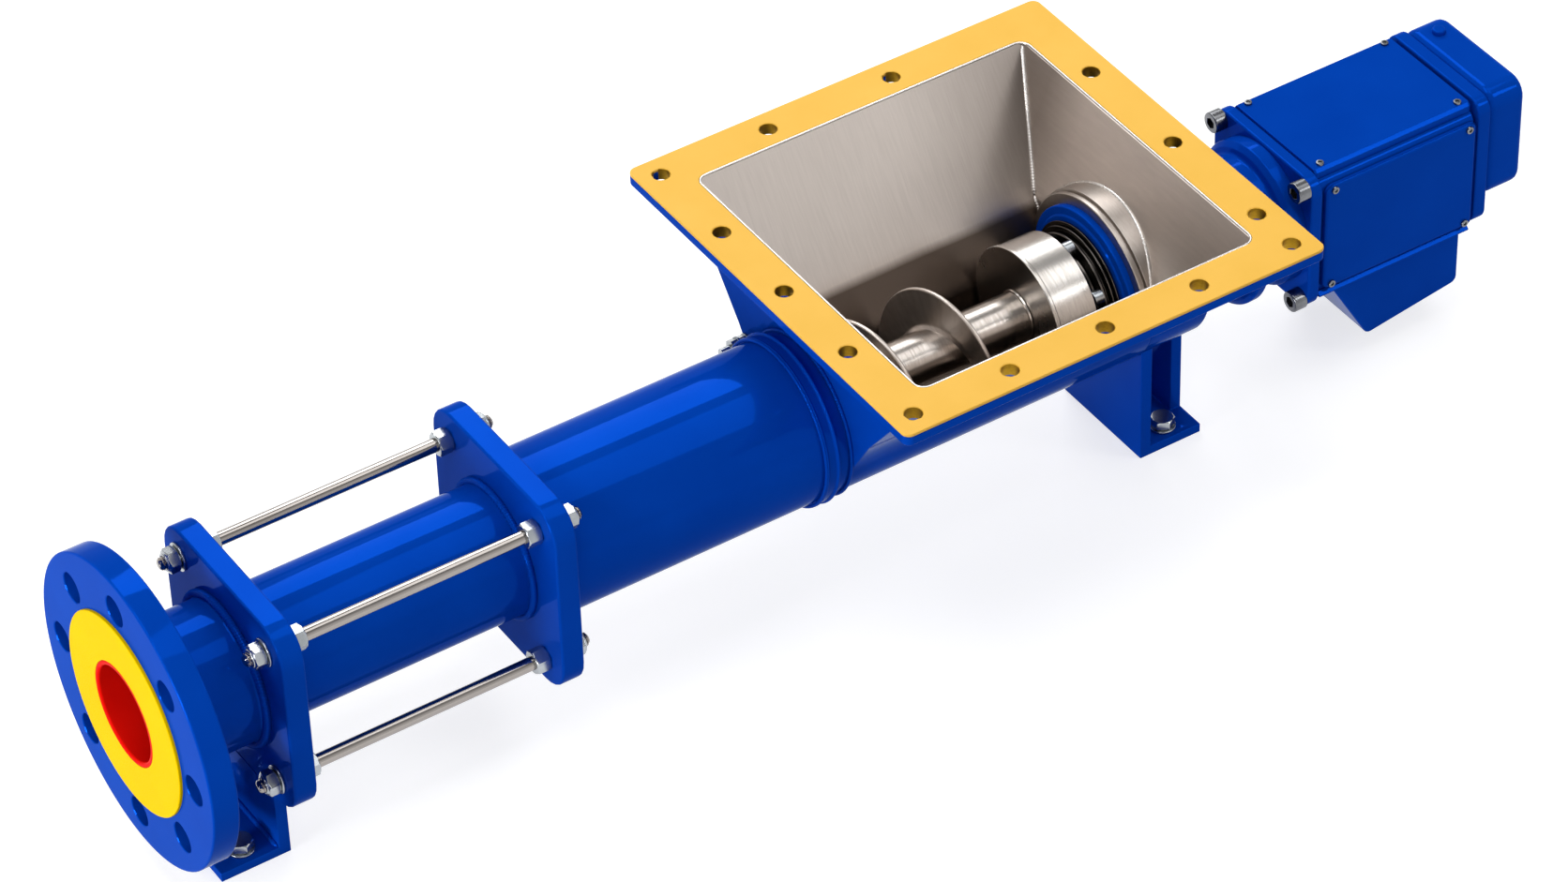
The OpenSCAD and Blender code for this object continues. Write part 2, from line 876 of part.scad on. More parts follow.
module terminal_box() {
    top = -half_body;
    low = top - terminal_depth;
    color(blue)
        rotate([90, 0, 0])
            linear_extrude(height = terminal_width, center = true)
                polygon([[motor_x + motor_length * 0.12, top], [motor_x + motor_length * 0.4, low - 2],
                    [motor_x + motor_length * 0.45, low],
                    [motor_end - 4, low + 9], [motor_end - 4, top]]);
}

// Turning pieces on the drive axis
module drive_shaft() {
    color(steel)
        union() {
            along_x(hub_back - 2)
                cylinder(h = shaft_meet_x - hub_back + 2, r = shaft_r);
        }
}

module drive_hub() {
    x = drive_joint_x;
    ball = drive_ball_radius + ball_gap;
    mouth = sqrt(ball * ball - 49);
    nose = ball + 6;
    barrel = hub_bolt_circle - hub_bolt_r - 0.4;
    color(dark_steel)
        difference() {
            turned([[x - mouth, 0], [x - mouth, nose], [drum_end + 2, nose],
                [drum_end + 4, barrel], [hub_x, barrel], [hub_x, hub_radius - 1],
                [hub_x + 1, hub_radius], [hub_back, hub_radius], [hub_back, 0]]);
            along_x(x)
                rotate_extrude()
                    intersection() {
                        circle(ball);
                        translate([0, -ball])
                            square([ball, 2 * ball]);
                    }
            along_x(x - ball - 3)
                cylinder(h = ball + 3, r1 = 9.5, r2 = 8);
            along_x(hub_back - 2)
                cylinder(h = 3, r = shaft_r + fit);
        }
}

module hub_screws() {
    color(zinc)
        for (i = [0:hub_bolts - 1])
            rotate([i * 360 / hub_bolts, 0, 0])
                translate([0, 0, hub_bolt_circle])
                    along_x(hub_x - 6)
                        difference() {
                            cylinder(h = 6, r = hub_bolt_r);
                            translate([0, 0, -1])
                                cylinder(h = 4, r = 2.6, $fn = 6);
                        }
}

module shaft_coupling() {
    start = shaft_meet_x - coupling_length / 2;
    color(dark_steel)
        ring_x(start, coupling_length, shaft_r + 7, shaft_r + fit);
    color(steel)
        along_x(shaft_meet_x + 0.5)
            cylinder(h = motor_x + motor_bore_depth - 2 - shaft_meet_x - 0.5, r = shaft_r - 2);
}

// Rotor, hung from its joint at the eccentricity above the axis
module rotor() {
    start = front_plate_x + 6;
    finish = rear_plate_end - 4;
    length = finish - start;
    ball = rotor_ball_radius + ball_gap;
    cup = ball + 3.4;
    x = rotor_joint_x;
    phase = 180 * (start - front_plate_x) / rotor_pitch;
    color(steel)
        translate([0, 0, eccentricity]) {
            along_x(start)
                rotate([0, 0, 2 * phase])
                    linear_extrude(height = length, slices = 76, $fn = 12,
                            twist = -360 * length / rotor_pitch)
                        translate([-eccentricity, 0])
                            circle(rotor_radius, $fn = 20);
            difference() {
                turned([[finish - 3, 0], [finish - 3, 8.5], [x - ball - 3, 8.5], [x - ball - 2, cup],
                    [x + 6, cup], [x + 6, 0]]);
                along_x(x)
                    rotate_extrude()
                        intersection() {
                            circle(ball);
                            translate([0, -ball])
                                square([ball, 2 * ball]);
                        }
                along_x(x)
                    cylinder(h = 8, r1 = 8, r2 = 9.4);
            }
        }
}

module rotor_joint_sleeve() {
    inner = rotor_ball_radius + ball_gap + 3.4 + run_gap;
    x = rotor_joint_x;
    color(rubber)
        translate([0, 0, eccentricity])
            turned([[x - 9, inner], [x - 9, inner + 3], [x - 6, inner + 5],
                [x + 2, inner + 5], [x + 5.5, inner + 3], [x + 5.5, inner]]);
}

// The rod and what it carries stand on the line between both joint centres
module on_rod() {
    translate([drive_joint_x, 0, 0])
        rotate([0, tilt, 0])
            translate([-rod_span, 0, 0])
                children();
}

rod_start = 18;
rod_finish = drum_x - rotor_joint_x + 2;

module coupling_rod() {
    rb = rotor_ball_radius;
    db = drive_ball_radius;
    color(steel)
        on_rod()
            union() {
                turned([[0, 0], [0, 6.5], [rod_start - 4, 6.5], [rod_start, rod_r - 2],
                    [rod_start + 2, rod_r], [rod_finish, rod_r], [rod_finish + 1, 6.5],
                    [rod_span, 6.5], [rod_span, 0]]);
                joint_ball(0, rb);
                joint_ball(rod_span, db);
            }
}

module joint_ball(x, r) {
    along_x(x)
        rotate_extrude()
            intersection() {
                circle(r);
                translate([0, -r])
                    square([r, 2 * r]);
            }
}

auger_start = rod_start + 14;
auger_finish = drum_x - rotor_joint_x - auger_drum_gap;

// One flight: a sector that climbs as it turns
module feed_auger() {
    length = auger_finish - auger_start;
    sweep = 360 * auger_t / auger_pitch;
    inner = rod_r + fit;
    over_top = drum_x - auger_top_gap - rotor_joint_x - auger_start;
    start_angle = 180 + 360 * over_top / auger_pitch;
    color(steel)
        on_rod()
            along_x(auger_start)
                rotate([0, 0, -start_angle])
                    linear_extrude(height = length, slices = 110, $fn = 6,
                            twist = -360 * length / auger_pitch)
                        polygon(concat(
                            [for (i = [0:2]) inner * [cos(i * sweep / 2), sin(i * sweep / 2)]],
                            [for (i = [2:-1:0]) auger_radius * [cos(i * sweep / 2), sin(i * sweep / 2)]]));
}

module auger_drum() {
    s = drum_x - rotor_joint_x;
    color(steel)
        on_rod()
            turned([[s, rod_r + fit], [s, drum_radius], [s + drum_length, drum_radius],
                [s + drum_length, drum_radius - drum_wall], [s + drum_wall, drum_radius - drum_wall],
                [s + drum_wall, rod_r + fit]]);
}

discharge_flange();
face_ring();
bore_lining();
discharge_neck();
front_plate();
front_foot();
foot_bolts();
stator_tube();
stator_rubber();
tie_rods();
tie_rod_nuts();
tie_rod_washers();
tie_rod_collars();
rear_plate();
feed_tube();
feed_collar();
hopper_shell();
hopper_rim();
rim_gasket();
hopper_liner();
earthing_stud();
earthing_nuts();
rear_foot();
seal_ring();
gland_ring();
bearing_housing();
shaft_bearings();
seal_seat();
lantern();
motor_flange();
motor_flange_screws();
motor_body();
motor_top_cover();
motor_side_cover();
cover_screws();
motor_band();
rear_cap();
vent_plug();
terminal_box();
drive_shaft();
drive_hub();
hub_screws();
seal_runner();
shaft_coupling();
rotor_joint_sleeve();
rotor();
coupling_rod();
feed_auger();
auger_drum();
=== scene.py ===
"""Looks of a hopper-fed progressive cavity pump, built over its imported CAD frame."""

import logging
import math
from collections.abc import Sequence
from dataclasses import dataclass, field
from enum import Enum

import bmesh
import bpy
import numpy as np
from mathutils import Matrix, Vector


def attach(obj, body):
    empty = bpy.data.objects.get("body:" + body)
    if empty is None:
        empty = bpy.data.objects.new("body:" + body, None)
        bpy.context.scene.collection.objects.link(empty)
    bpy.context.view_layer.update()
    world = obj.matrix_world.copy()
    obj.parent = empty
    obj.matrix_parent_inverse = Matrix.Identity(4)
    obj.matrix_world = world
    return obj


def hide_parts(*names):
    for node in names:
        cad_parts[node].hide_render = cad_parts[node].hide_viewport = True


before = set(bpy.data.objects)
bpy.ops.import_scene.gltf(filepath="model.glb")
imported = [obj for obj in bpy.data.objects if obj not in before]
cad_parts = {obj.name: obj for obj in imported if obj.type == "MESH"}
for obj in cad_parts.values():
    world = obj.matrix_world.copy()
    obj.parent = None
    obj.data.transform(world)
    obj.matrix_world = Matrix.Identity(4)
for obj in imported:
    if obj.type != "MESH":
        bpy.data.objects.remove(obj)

LOG = logging.getLogger("pump")
MM = 0.001
TAU = 2 * math.pi
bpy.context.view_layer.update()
Array = np.ndarray
Colour = tuple[float, float, float]


class Body(Enum):
    """The bodies of the mechanism."""

    PUMP = "pump"
    DRIVE = "drive"
    ORBIT = "orbit"
    ROTOR = "rotor"
    ROD = "rod"


# ---------------------------------------------------------------- shader maths


class Channel:
    """One number output of a shader node, used in Python arithmetic."""

    def __init__(self, board: "Board", socket: bpy.types.NodeSocket) -> None:
        """Wraps a socket.

        Args:
            board: The material that the socket belongs to.
            socket: The output socket.
        """
        self.board = board
        self.socket = socket

    def _with(self, operation: str, *terms: "Channel | float") -> "Channel":
        """Adds one Math node.

        Args:
            operation: The Math node's operation.
            terms: Its inputs in order.

        Returns:
            The node's output.
        """
        made = self.board.node("ShaderNodeMath", {"operation": operation}, dict(enumerate(terms)))
        return Channel(self.board, made.outputs[0])

    def __add__(self, other: "Channel | float") -> "Channel":
        """This plus other."""
        return self._with("ADD", self, other)

    __radd__ = __add__

    def __sub__(self, other: "Channel | float") -> "Channel":
        """This minus other."""
        return self._with("SUBTRACT", self, other)

    def __rsub__(self, other: "Channel | float") -> "Channel":
        """Other minus this."""
        return self._with("SUBTRACT", other, self)

    def __mul__(self, other: "Channel | float") -> "Channel":
        """This times other."""
        return self._with("MULTIPLY", self, other)

    __rmul__ = __mul__

    def between(self, low: float, high: float) -> "Channel":
        """Ramps from 0 at low to 1 at high, and stops there.

        Args:
            low: Where the ramp starts.
            high: Where it ends.

        Returns:
            The ramp.
        """
        made = self.board.node("ShaderNodeMapRange", {"clamp": True}, {0: self, 1: low, 2: high})
        return Channel(self.board, made.outputs[0])


Value = Channel | float | Colour | tuple[float, ...] | bpy.types.NodeSocket


class Board:
    """The nodes of one material or of the room, and the one way to add to them."""

    def __init__(self, owner: bpy.types.Material | bpy.types.World) -> None:
        """Opens the owner's nodes.

        Args:
            owner: A new material, or the room.
        """
        owner.use_nodes = True
        self.owner = owner
        self.tree = owner.node_tree
        self.shader = next(n for n in self.tree.nodes if n.type in ("BSDF_PRINCIPLED", "BACKGROUND"))
        self.where = self.node("ShaderNodeTexCoord", {}, {})
        self.place = self.where.outputs["Object"]

    def node(self, kind: str, settings: dict[str, str | bool],
             inputs: dict[str | int, Value]) -> bpy.types.Node:
        """Adds a node, sets it and feeds it.

        Args:
            kind: The node's type.
            settings: Its properties.
            inputs: A value or a link for each socket, by name or index.

        Returns:
            The node.
        """
        made = self.tree.nodes.new(kind)
        for key, value in settings.items():
            setattr(made, key, value)
        for key, value in inputs.items():
            self.feed(made.inputs[key], value)
        return made

    def feed(self, socket: bpy.types.NodeSocket, value: Value) -> None:
        """Links a channel or socket, or sets a plain value.

        Args:
            socket: The input to feed.
            value: What goes into it.
        """
        if isinstance(value, Channel):
            value = value.socket
        if isinstance(value, bpy.types.NodeSocket):
            self.tree.links.new(value, socket)
        elif isinstance(value, tuple) and socket.type == "RGBA" and len(value) == 3:
            socket.default_value = (*value, 1.0)
        else:
            socket.default_value = value

    def surface(self, inputs: dict[str, Value]) -> None:
        """Feeds the shader's own inputs.

        Args:
            inputs: A value or a link for each input, by name.
        """
        for key, value in inputs.items():
            self.feed(self.shader.inputs[key], value)

    def noise(self, scale: float, detail: float = 2.0, stretch: Colour = (1, 1, 1)) -> Channel:
        """Smooth noise on the object's own coordinates.

        Args:
            scale: Grains per metre.
            detail: Octaves.
            stretch: Factor on each axis, larger for finer grain along it.

        Returns:
            The noise from 0 to 1.
        """
        where = self.node("ShaderNodeMapping", {}, {"Vector": self.place, "Scale": stretch})
        inputs = {"Vector": where.outputs[0], "Scale": scale, "Detail": detail}
        return Channel(self, self.node("ShaderNodeTexNoise", {}, inputs).outputs[0])

    def along(self, axis: int, kind: str = "Object") -> Channel:
        """The coordinate along an axis: metres on an object, a direction in the room."""
        made = self.node("ShaderNodeSeparateXYZ", {}, {"Vector": self.where.outputs[kind]})
        return Channel(self, made.outputs[axis])

    def background_ray(self) -> Channel:
        """Tells rays that show a surface from rays that only light another one.

        Returns:
            1 where the surface is seen, mirrored or seen through glass, 0 where it only lights.
        """
        path = self.node("ShaderNodeLightPath", {}, {})
        seen, glossy, clear = (Channel(self, path.outputs[f"Is {kind} Ray"])
                               for kind in ("Camera", "Glossy", "Transmission"))
        return (seen + glossy + clear).between(0.0, 1.0)

    def blend(self, amount: Value, first: Value, second: Value) -> bpy.types.NodeSocket:
        """Mixes two colours.

        Args:
            amount: 0 for the first, 1 for the second.
            first: A colour.
            second: A colour.

        Returns:
            The mixed colour.
        """
        made = self.node("ShaderNodeMix", {"data_type": "RGBA"}, {0: amount, 6: first, 7: second})
        return made.outputs[2]

    def relief(self, height: Value, depth_mm: float) -> None:
        """Feeds the shader's normal from a height.

        Args:
            height: The height from 0 to 1.
            depth_mm: What 1 stands for.
        """
        made = self.node("ShaderNodeBump", {}, {"Height": height, "Distance": depth_mm * MM, "Strength": 1.0})
        self.feed(self.shader.inputs["Normal"], made.outputs[0])


@dataclass(frozen=True)
class Enamel:
    """Sprayed gloss paint: a deep colour, a slow cloud in it, and a faint peel."""

    name: str
    deep: Colour
    light: Colour
    gloss: float = 0.10
    tint: Colour = (0.3, 0.6, 1.0)
    shine: float = 0.005
    flake: float = 0.14
    peel_mm: float = 0.006
    slot: str = "blue_enamel"
    cloud_scale: float = 22.0
    peel_scale: float = 520.0
    cloud_rough: float = 0.03

    def make(self) -> bpy.types.Material:
        """Lays out the paint's nodes.

        Returns:
            The material.
        """
        board = Board(bpy.data.materials.new(self.name))
        cloud, peel = board.noise(self.cloud_scale, 3.0), board.noise(self.peel_scale)
        board.surface({
            "Base Color": board.blend(cloud, self.deep, self.light),
            "Roughness": self.gloss + self.cloud_rough * cloud,
            "Specular Tint": self.tint,
            "Specular IOR Level": self.shine,
            "Metallic": self.flake,
        })
        board.relief(peel, self.peel_mm)
        return board.owner


@dataclass(frozen=True)
class Satin:
    """Metal with a grain drawn along one axis, with painted shade below the heights in deep and in one
    corner.
    """

    name: str
    dark: Colour
    bright: Colour
    rough: float = 0.30
    spread: float = 0.16
    grain: float = 900.0
    stretch: Colour = (0.06, 1.0, 1.0)
    depth_mm: float = 0.012
    cloud_scale: float = 14.0
    slot: str = "stainless"
    # These fields set painted shade: a dark colour below the heights in deep, and in one corner by shade
    # within shade_x and shade_y.
    deep: tuple[float, float] | None = None
    deep_wave: float = 0.004
    painted_shade: Colour = (0.1, 0.08, 0.07)
    shade: float = 0.0
    shade_x: tuple[float, float] = (0.565, 0.66)
    shade_y: tuple[float, float] = (0.045, 0.08)
    cloud_share: float = 0.65
    grain_share: float = 0.35

    def make(self) -> bpy.types.Material:
        """Lays out the metal's nodes: clean metal, then painted shade in one corner, then painted shade low
        down.

        Returns:
            The material.
        """
        board = Board(bpy.data.materials.new(self.name))
        cloud = board.noise(self.cloud_scale, 4.0)
        grain = board.noise(self.grain, 3.0, self.stretch)
        mixed = (self.cloud_share * cloud + self.grain_share * grain).between(0.3, 0.7)
        colour = board.blend(mixed, self.dark, self.bright)
        # Painted shade: the far wall darkens towards the end wall, within shade_x and shade_y.
        if self.shade:
            corner = board.along(0).between(*self.shade_x) * board.along(1).between(*self.shade_y)
            colour = board.blend(self.shade * corner, colour, self.painted_shade)
        # Painted shade: below the heights in deep, low in the trough, the metal turns to the dark shade
        # colour.
        if self.deep:
            level = (board.along(2) + self.deep_wave * cloud).between(*self.deep)
            colour = board.blend(level, self.painted_shade, colour)
        board.surface({
            "Base Color": colour, "Metallic": 1.0, "Roughness": self.rough + self.spread * (1 - mixed)
        })
        board.relief(grain, self.depth_mm)
        return board.owner


@dataclass(frozen=True)
class Moulded:
    """Rubber, lining or gasket sheet: a matt colour with fine pores."""

    name: str
    deep: Colour
    light: Colour
    rough: float = 0.5
    shine: float = 0.05
    pores: float = 1400.0
    depth_mm: float = 0.02
    cloud_scale: float = 30.0
    slot: str = "black_rubber"
    pore_gloss: float = 0.12

    def make(self) -> bpy.types.Material:
        """Lays out the nodes of a moulded surface.

        Returns:
            The material.
        """
        board = Board(bpy.data.materials.new(self.name))
        cloud, pores = board.noise(self.cloud_scale, 3.0), board.noise(self.pores)
        board.surface({
            "Base Color": board.blend(cloud, self.deep, self.light),
            "Roughness": self.rough - self.pore_gloss * pores,
            "Specular IOR Level": self.shine,
        })
        board.relief(pores, self.depth_mm)
        return board.owner


class Finish(Enum):
    """Every finish on the pump."""

    BLUE = Enamel("blue_paint", (0.0003, 0.041, 0.350), (0.0010, 0.055, 0.430), 0.05)
    YELLOW = Moulded("yellow_face_sheet", (0.72, 0.465, 0.0), (0.80, 0.525, 0.0), 0.34, 0.004,
                     slot="yellow_face")
    AMBER = Moulded("amber_gasket_sheet", (0.75, 0.427, 0.060), (0.835, 0.493, 0.092), 0.5,
                    slot="amber_gasket")
    RED = Moulded("red_bore_sheet", (0.60, 0.003, 0.001), (0.76, 0.007, 0.003), 0.24, 0.006,
                  slot="red_lining")
    RUBBER = Moulded("moulded_rubber", (0.012, 0.012, 0.013), (0.03, 0.03, 0.032), 0.6)
    # The liner carries painted shade low in the trough and in the far corner by the end wall.
    LINER = Satin("satin_sheet", (0.45, 0.40, 0.365), (0.57, 0.51, 0.467), 0.30, 0.08, cloud_scale=7.0,
                  stretch=(1.0, 0.05, 0.05), deep=(0.018, 0.023), painted_shade=(0.105, 0.082, 0.068), shade=0.55)
    RING = Satin("seal_ring_steel", (0.31, 0.275, 0.25), (0.46, 0.415, 0.38), 0.32, 0.08,
                 stretch=(1.0, 0.2, 0.2))
    BRASS = Satin("hole_sleeves", (0.22, 0.118, 0.006), (0.46, 0.265, 0.018), 0.45, 0.1, slot="amber_gasket")
    TURNED = Satin("turned_stainless", (0.42, 0.37, 0.335), (0.72, 0.66, 0.61), 0.32, 0.12,
                   stretch=(1.0, 0.08, 0.08))
    ROD = Satin("drawn_rod", (0.31, 0.285, 0.265), (0.36, 0.33, 0.31), 0.13, 0.01, grain=1500.0,
                stretch=(0.02, 1.0, 1.0), depth_mm=0.001, cloud_scale=40.0, slot="bright_steel")
    ZINC = Satin("zinc_plate", (0.30, 0.32, 0.34), (0.50, 0.53, 0.55), 0.22, 0.06, grain=2500.0,
                 stretch=(1.0, 1.0, 1.0), depth_mm=0.001, cloud_scale=60.0, slot="zinc_steel")
    SOCKET = Satin("blacked_screw", (0.10, 0.105, 0.115), (0.24, 0.245, 0.255), 0.20, 0.10, grain=2500.0,
                   stretch=(1.0, 1.0, 1.0), depth_mm=0.001, cloud_scale=60.0)
    DARK = Satin("dark_joint_steel", (0.035, 0.032, 0.029), (0.12, 0.108, 0.10), 0.14, 0.12,
                 stretch=(1.0, 0.1, 0.1), depth_mm=0.01, cloud_scale=40.0, slot="dark_steel")
    LIP = Satin("polished_lip", (0.42, 0.40, 0.38), (0.75, 0.73, 0.71), 0.2, 0.1, grain=700.0,
                stretch=(1.0, 1.0, 1.0))
    SEAM = Satin("seam_metal", (0.45, 0.42, 0.40), (0.8, 0.77, 0.74), 0.2, 0.2, grain=500.0,
                 stretch=(1.0, 1.0, 1.0), depth_mm=0.03, cloud_scale=90.0)
    SHAFT = Satin("polished_shaft", (0.34, 0.30, 0.27), (0.60, 0.565, 0.53), 0.16, 0.12,
                  stretch=(1.0, 0.08, 0.08))
    DRUM = Satin("polished_drum", (0.36, 0.33, 0.30), (0.62, 0.59, 0.56), 0.2, 0.12,
                 stretch=(1.0, 0.08, 0.08))
    BEARING = Satin("bearing_races", (0.35, 0.35, 0.36), (0.6, 0.6, 0.6), 0.2, slot="bearing_steel")

    def material(self) -> bpy.types.Material:
        """This finish's material, made on first use."""
        return bpy.data.materials.get(self.value.name) or self.value.make()


# ---------------------------------------------------------------- camera, light and floor


@dataclass(frozen=True)
class Lamp:
    """A soft rectangular lamp, in metres and watts, that hangs at a point and looks at another."""

    name: str
    at: tuple[float, float, float]
    to: tuple[float, float, float]
    size: tuple[float, float]
    watts: float

    def hang(self) -> None:
        """Adds the lamp."""
        data = bpy.data.lights.new(self.name, "AREA")
        data.shape = "RECTANGLE"
        data.size, data.size_y = self.size
        data.energy = self.watts
        made = bpy.data.objects.new(self.name, data)
        made.location = self.at
        made.rotation_euler = (Vector(self.to) - Vector(self.at)).to_track_quat("-Z", "Y").to_euler()
        bpy.context.scene.collection.objects.link(made)


LAMPS = (
    Lamp("overhead", (-0.1, 0.1, 2.5), (0.45, 0.0, 0.0), (1.5, 1.2), 21.0),
    Lamp("window", (-1.1, -1.7, 1.3), (0.45, 0.0, 0.0), (0.6, 0.5), 3.0),
    Lamp("front", (-2.1, -0.40, 0.22), (0.0, 0.0, 0.0), (0.7, 0.7), 42.0),
    Lamp("back_box", (1.18, 1.49, 1.65), (0.28, 0.0, 0.05), (1.05, 1.40), 25.0),
    Lamp("top_box", (1.30, -0.444, 2.19), (0.34, 0.0, 0.05), (1.42, 1.3), 11.5),
    Lamp("motor_edge", (2.02, -1.51, 1.51), (0.81, 0.0, 0.0), (0.5, 0.6), 6.0),
    Lamp("front_high", (-1.6, -0.3, 1.5), (0.45, 0.0, 0.0), (0.5, 0.4), 8.0),
)


@dataclass(frozen=True)
class Studio:
    """The camera of the photograph, soft lamps, a pale floor and a pale room.

    Angles are in degrees, the camera's distances in millimetres, and the floor's own size in metres.
    """

    azimuth: float = -32.087
    elevation: float = 40.729
    roll: float = -1.843
    focal_px: float = 6624.0
    distance: float = 3574.6
    slide: float = 234.93
    lift: float = 116.59
    aim: tuple[float, float, float] = (700.0, 0.0, 0.0)
    width_px: float = 1672.0
    sensor_mm: float = 36.0
    floor_z: float = -110.0
    floor_reach: float = 6.0
    floor_points: int = 9
    ambient: float = 0.52
    ceiling: float = 0.35
    floor_tone: float = 0.5
    floor_glow: float = 0.70

    def axes(self) -> tuple[Vector, Vector, Vector]:
        """Turns the camera's angles into its axes.

        Returns:
            The camera's right, up and back in the pump's frame.
        """
        a, e, r = (math.radians(v) for v in (self.azimuth, self.elevation, self.roll))
        back = Vector((math.sin(a) * math.cos(e), -math.cos(a) * math.cos(e), math.sin(e)))
        right = Vector((math.cos(a), math.sin(a), 0))
        up = back.cross(right)
        turned_right = right * math.cos(r) + up * math.sin(r)
        turned_up = up * math.cos(r) - right * math.sin(r)
        return turned_right, turned_up, back

    def camera(self) -> None:
        """Makes the camera where the photograph was taken from."""
        right, up, back = self.axes()
        data = bpy.data.cameras.new("camera")
        data.sensor_width = self.sensor_mm
        data.lens = self.sensor_mm * self.focal_px / self.width_px
        data.clip_start, data.clip_end = 0.1, 50.0
        made = bpy.data.objects.new("camera", data)
        spot = Vector(self.aim) - right * self.slide - up * self.lift + back * self.distance
        made.matrix_world = Matrix.Translation(spot * MM) @ Matrix((right, up, back)).transposed().to_4x4()
        bpy.context.scene.collection.objects.link(made)
        bpy.context.scene.camera = made

    def room(self) -> None:
        """A pale room with a greyer ceiling, white where it is seen or mirrored and softer as light."""
        room = bpy.data.worlds.new("room")
        board = Board(room)
        sky = board.along(2, "Generated").between(0.20, 0.75)
        light = self.ambient + (1.0 - self.ambient) * board.background_ray()
        board.surface({"Color": (1.0, 1.0, 1.0), "Strength": light * (1.0 - (1.0 - self.ceiling) * sky)})
        bpy.context.scene.world = room

    def floor(self) -> None:
        """A wide pale floor under the feet, which keeps the pump's shadow."""
        board = Board(bpy.data.materials.new("pale_floor"))
        tone, glow = self.floor_tone, self.floor_glow
        board.surface({
            "Base Color": board.blend(board.noise(3.0), (tone,) * 3, (tone + 0.01,) * 3),
            "Roughness": 0.9,
            "Specular IOR Level": 0.0,
            "Emission Color": board.blend(board.background_ray(), (0.0, 0.0, 0.0), (glow,) * 3),
            "Emission Strength": 1.0,
        })
        u = np.linspace(-self.floor_reach, self.floor_reach, self.floor_points)
        x, y = np.meshgrid(u, u, indexing="ij")
        grid = np.stack([x + 0.5, y, np.full_like(x, self.floor_z * MM)], -1)
        index = np.arange(x.size).reshape(x.shape)
        faces = np.stack([index[:-1, :-1], index[1:, :-1], index[1:, 1:], index[:-1, 1:]], -1)
        mesh = bpy.data.meshes.new("floor")
        mesh.from_pydata(grid.reshape(-1, 3).tolist(), [], faces.reshape(-1, 4).tolist())
        made = bpy.data.objects.new("floor", mesh)
        made.data.materials.append(board.owner)
        bpy.context.scene.collection.objects.link(made)

    def build(self) -> None:
        """Sets the camera, the room, the lamps and the floor."""
        bpy.context.scene.view_settings.view_transform = "Standard"
        self.camera()
        self.room()
        self.floor()
        for lamp in LAMPS:
            lamp.hang()


# ---------------------------------------------------------------- surfaces


def rounded(points: Sequence[tuple[float, float]], radii: float | Sequence[float], steps: int = 5) -> Array:
    """A closed outline whose corners are arcs.

    Each corner is replaced by the arc that touches both its sides: its ends lie r / tan(half the corner
    angle) from the corner, and never past the middle of a side.

    Args:
        points: The corners in order.
        radii: One radius, or one per corner.
        steps: Points on each arc.

    Returns:
        The outline, without repeated points.
    """
    p = np.asarray(points, float)
    u, v = np.roll(p, 1, 0) - p, np.roll(p, -1, 0) - p
    lu, lv = np.linalg.norm(u, axis=1), np.linalg.norm(v, axis=1)
    u, v = u / lu[:, None], v / lv[:, None]
    half = np.arccos(np.clip((u * v).sum(1), -0.9999, 0.9999)) / 2
    reach = np.minimum(np.broadcast_to(radii, lu.shape) / np.tan(half), 0.49 * np.minimum(lu, lv))
    r = reach * np.tan(half)
    middle = (u + v) / np.maximum(np.linalg.norm(u + v, axis=1), 1e-9)[:, None]
    centre = p + middle * (r / np.sin(half))[:, None]
    start, end = p + u * reach[:, None] - centre, p + v * reach[:, None] - centre
    first = np.arctan2(start[:, 1], start[:, 0])
    turn = (np.arctan2(end[:, 1], end[:, 0]) - first + math.pi) % TAU - math.pi
    angle = first[:, None] + turn[:, None] * np.linspace(0, 1, steps)
    arcs = centre[:, None] + r[:, None, None] * np.stack([np.cos(angle), np.sin(angle)], -1)
    flat = arcs.reshape(-1, 2)
    return flat[np.linalg.norm(flat - np.roll(flat, 1, 0), axis=1) > 1e-5]


def turned(profile: Array, sides: int = 96, about: tuple[float, float] = (0.0, 0.0)) -> Array:
    """Revolves a profile of x and radius about a line along X.

    Args:
        profile: Rows of x and radius.
        sides: Points round the circle.
        about: The line's y and z.

    Returns:
        A grid of profile points by sides.
    """
    t = np.linspace(0, TAU, sides, endpoint=False)
    x, r = profile[:, :1], profile[:, 1:2]
    return np.stack([x + 0 * t, about[0] + r * np.cos(t), about[1] + r * np.sin(t)], -1)


def edge_arc(steps: int = 5) -> tuple[Array, Array]:
    """A quarter-round edge of radius 1, from the face to the side.

    Args:
        steps: Points on the edge.

    Returns:
        How far each point stands in from the side, and how far back from the face.
    """
    k = np.linspace(0, math.pi / 2, steps)
    return 1 - np.sin(k), 1 - np.cos(k)


def prism(outline: Array, spread: Sequence[float], x: Array) -> Array:
    """An outline of y and z swept along X.

    Args:
        outline: Rows of y and z.
        spread: The outline's size at each station, about its own middle.
        x: The stations.

    Returns:
        A grid of stations by outline points.
    """
    middle = outline.mean(0)
    rows = [middle + (outline - middle) * v for v in spread]
    return np.stack([np.column_stack([np.full(len(r), v), r]) for v, r in zip(x, rows)])


def capped(grid: Array) -> Array:
    """Closes both ends of a grid by a point.

    Args:
        grid: A grid of rows by columns.

    Returns:
        The grid with a row more at each end, all in the middle of the row beside it.
    """
    tips = [np.tile(row.mean(0), (len(row), 1))[None] for row in (grid[0], grid[-1])]
    return np.concatenate([tips[0], grid, tips[1]])


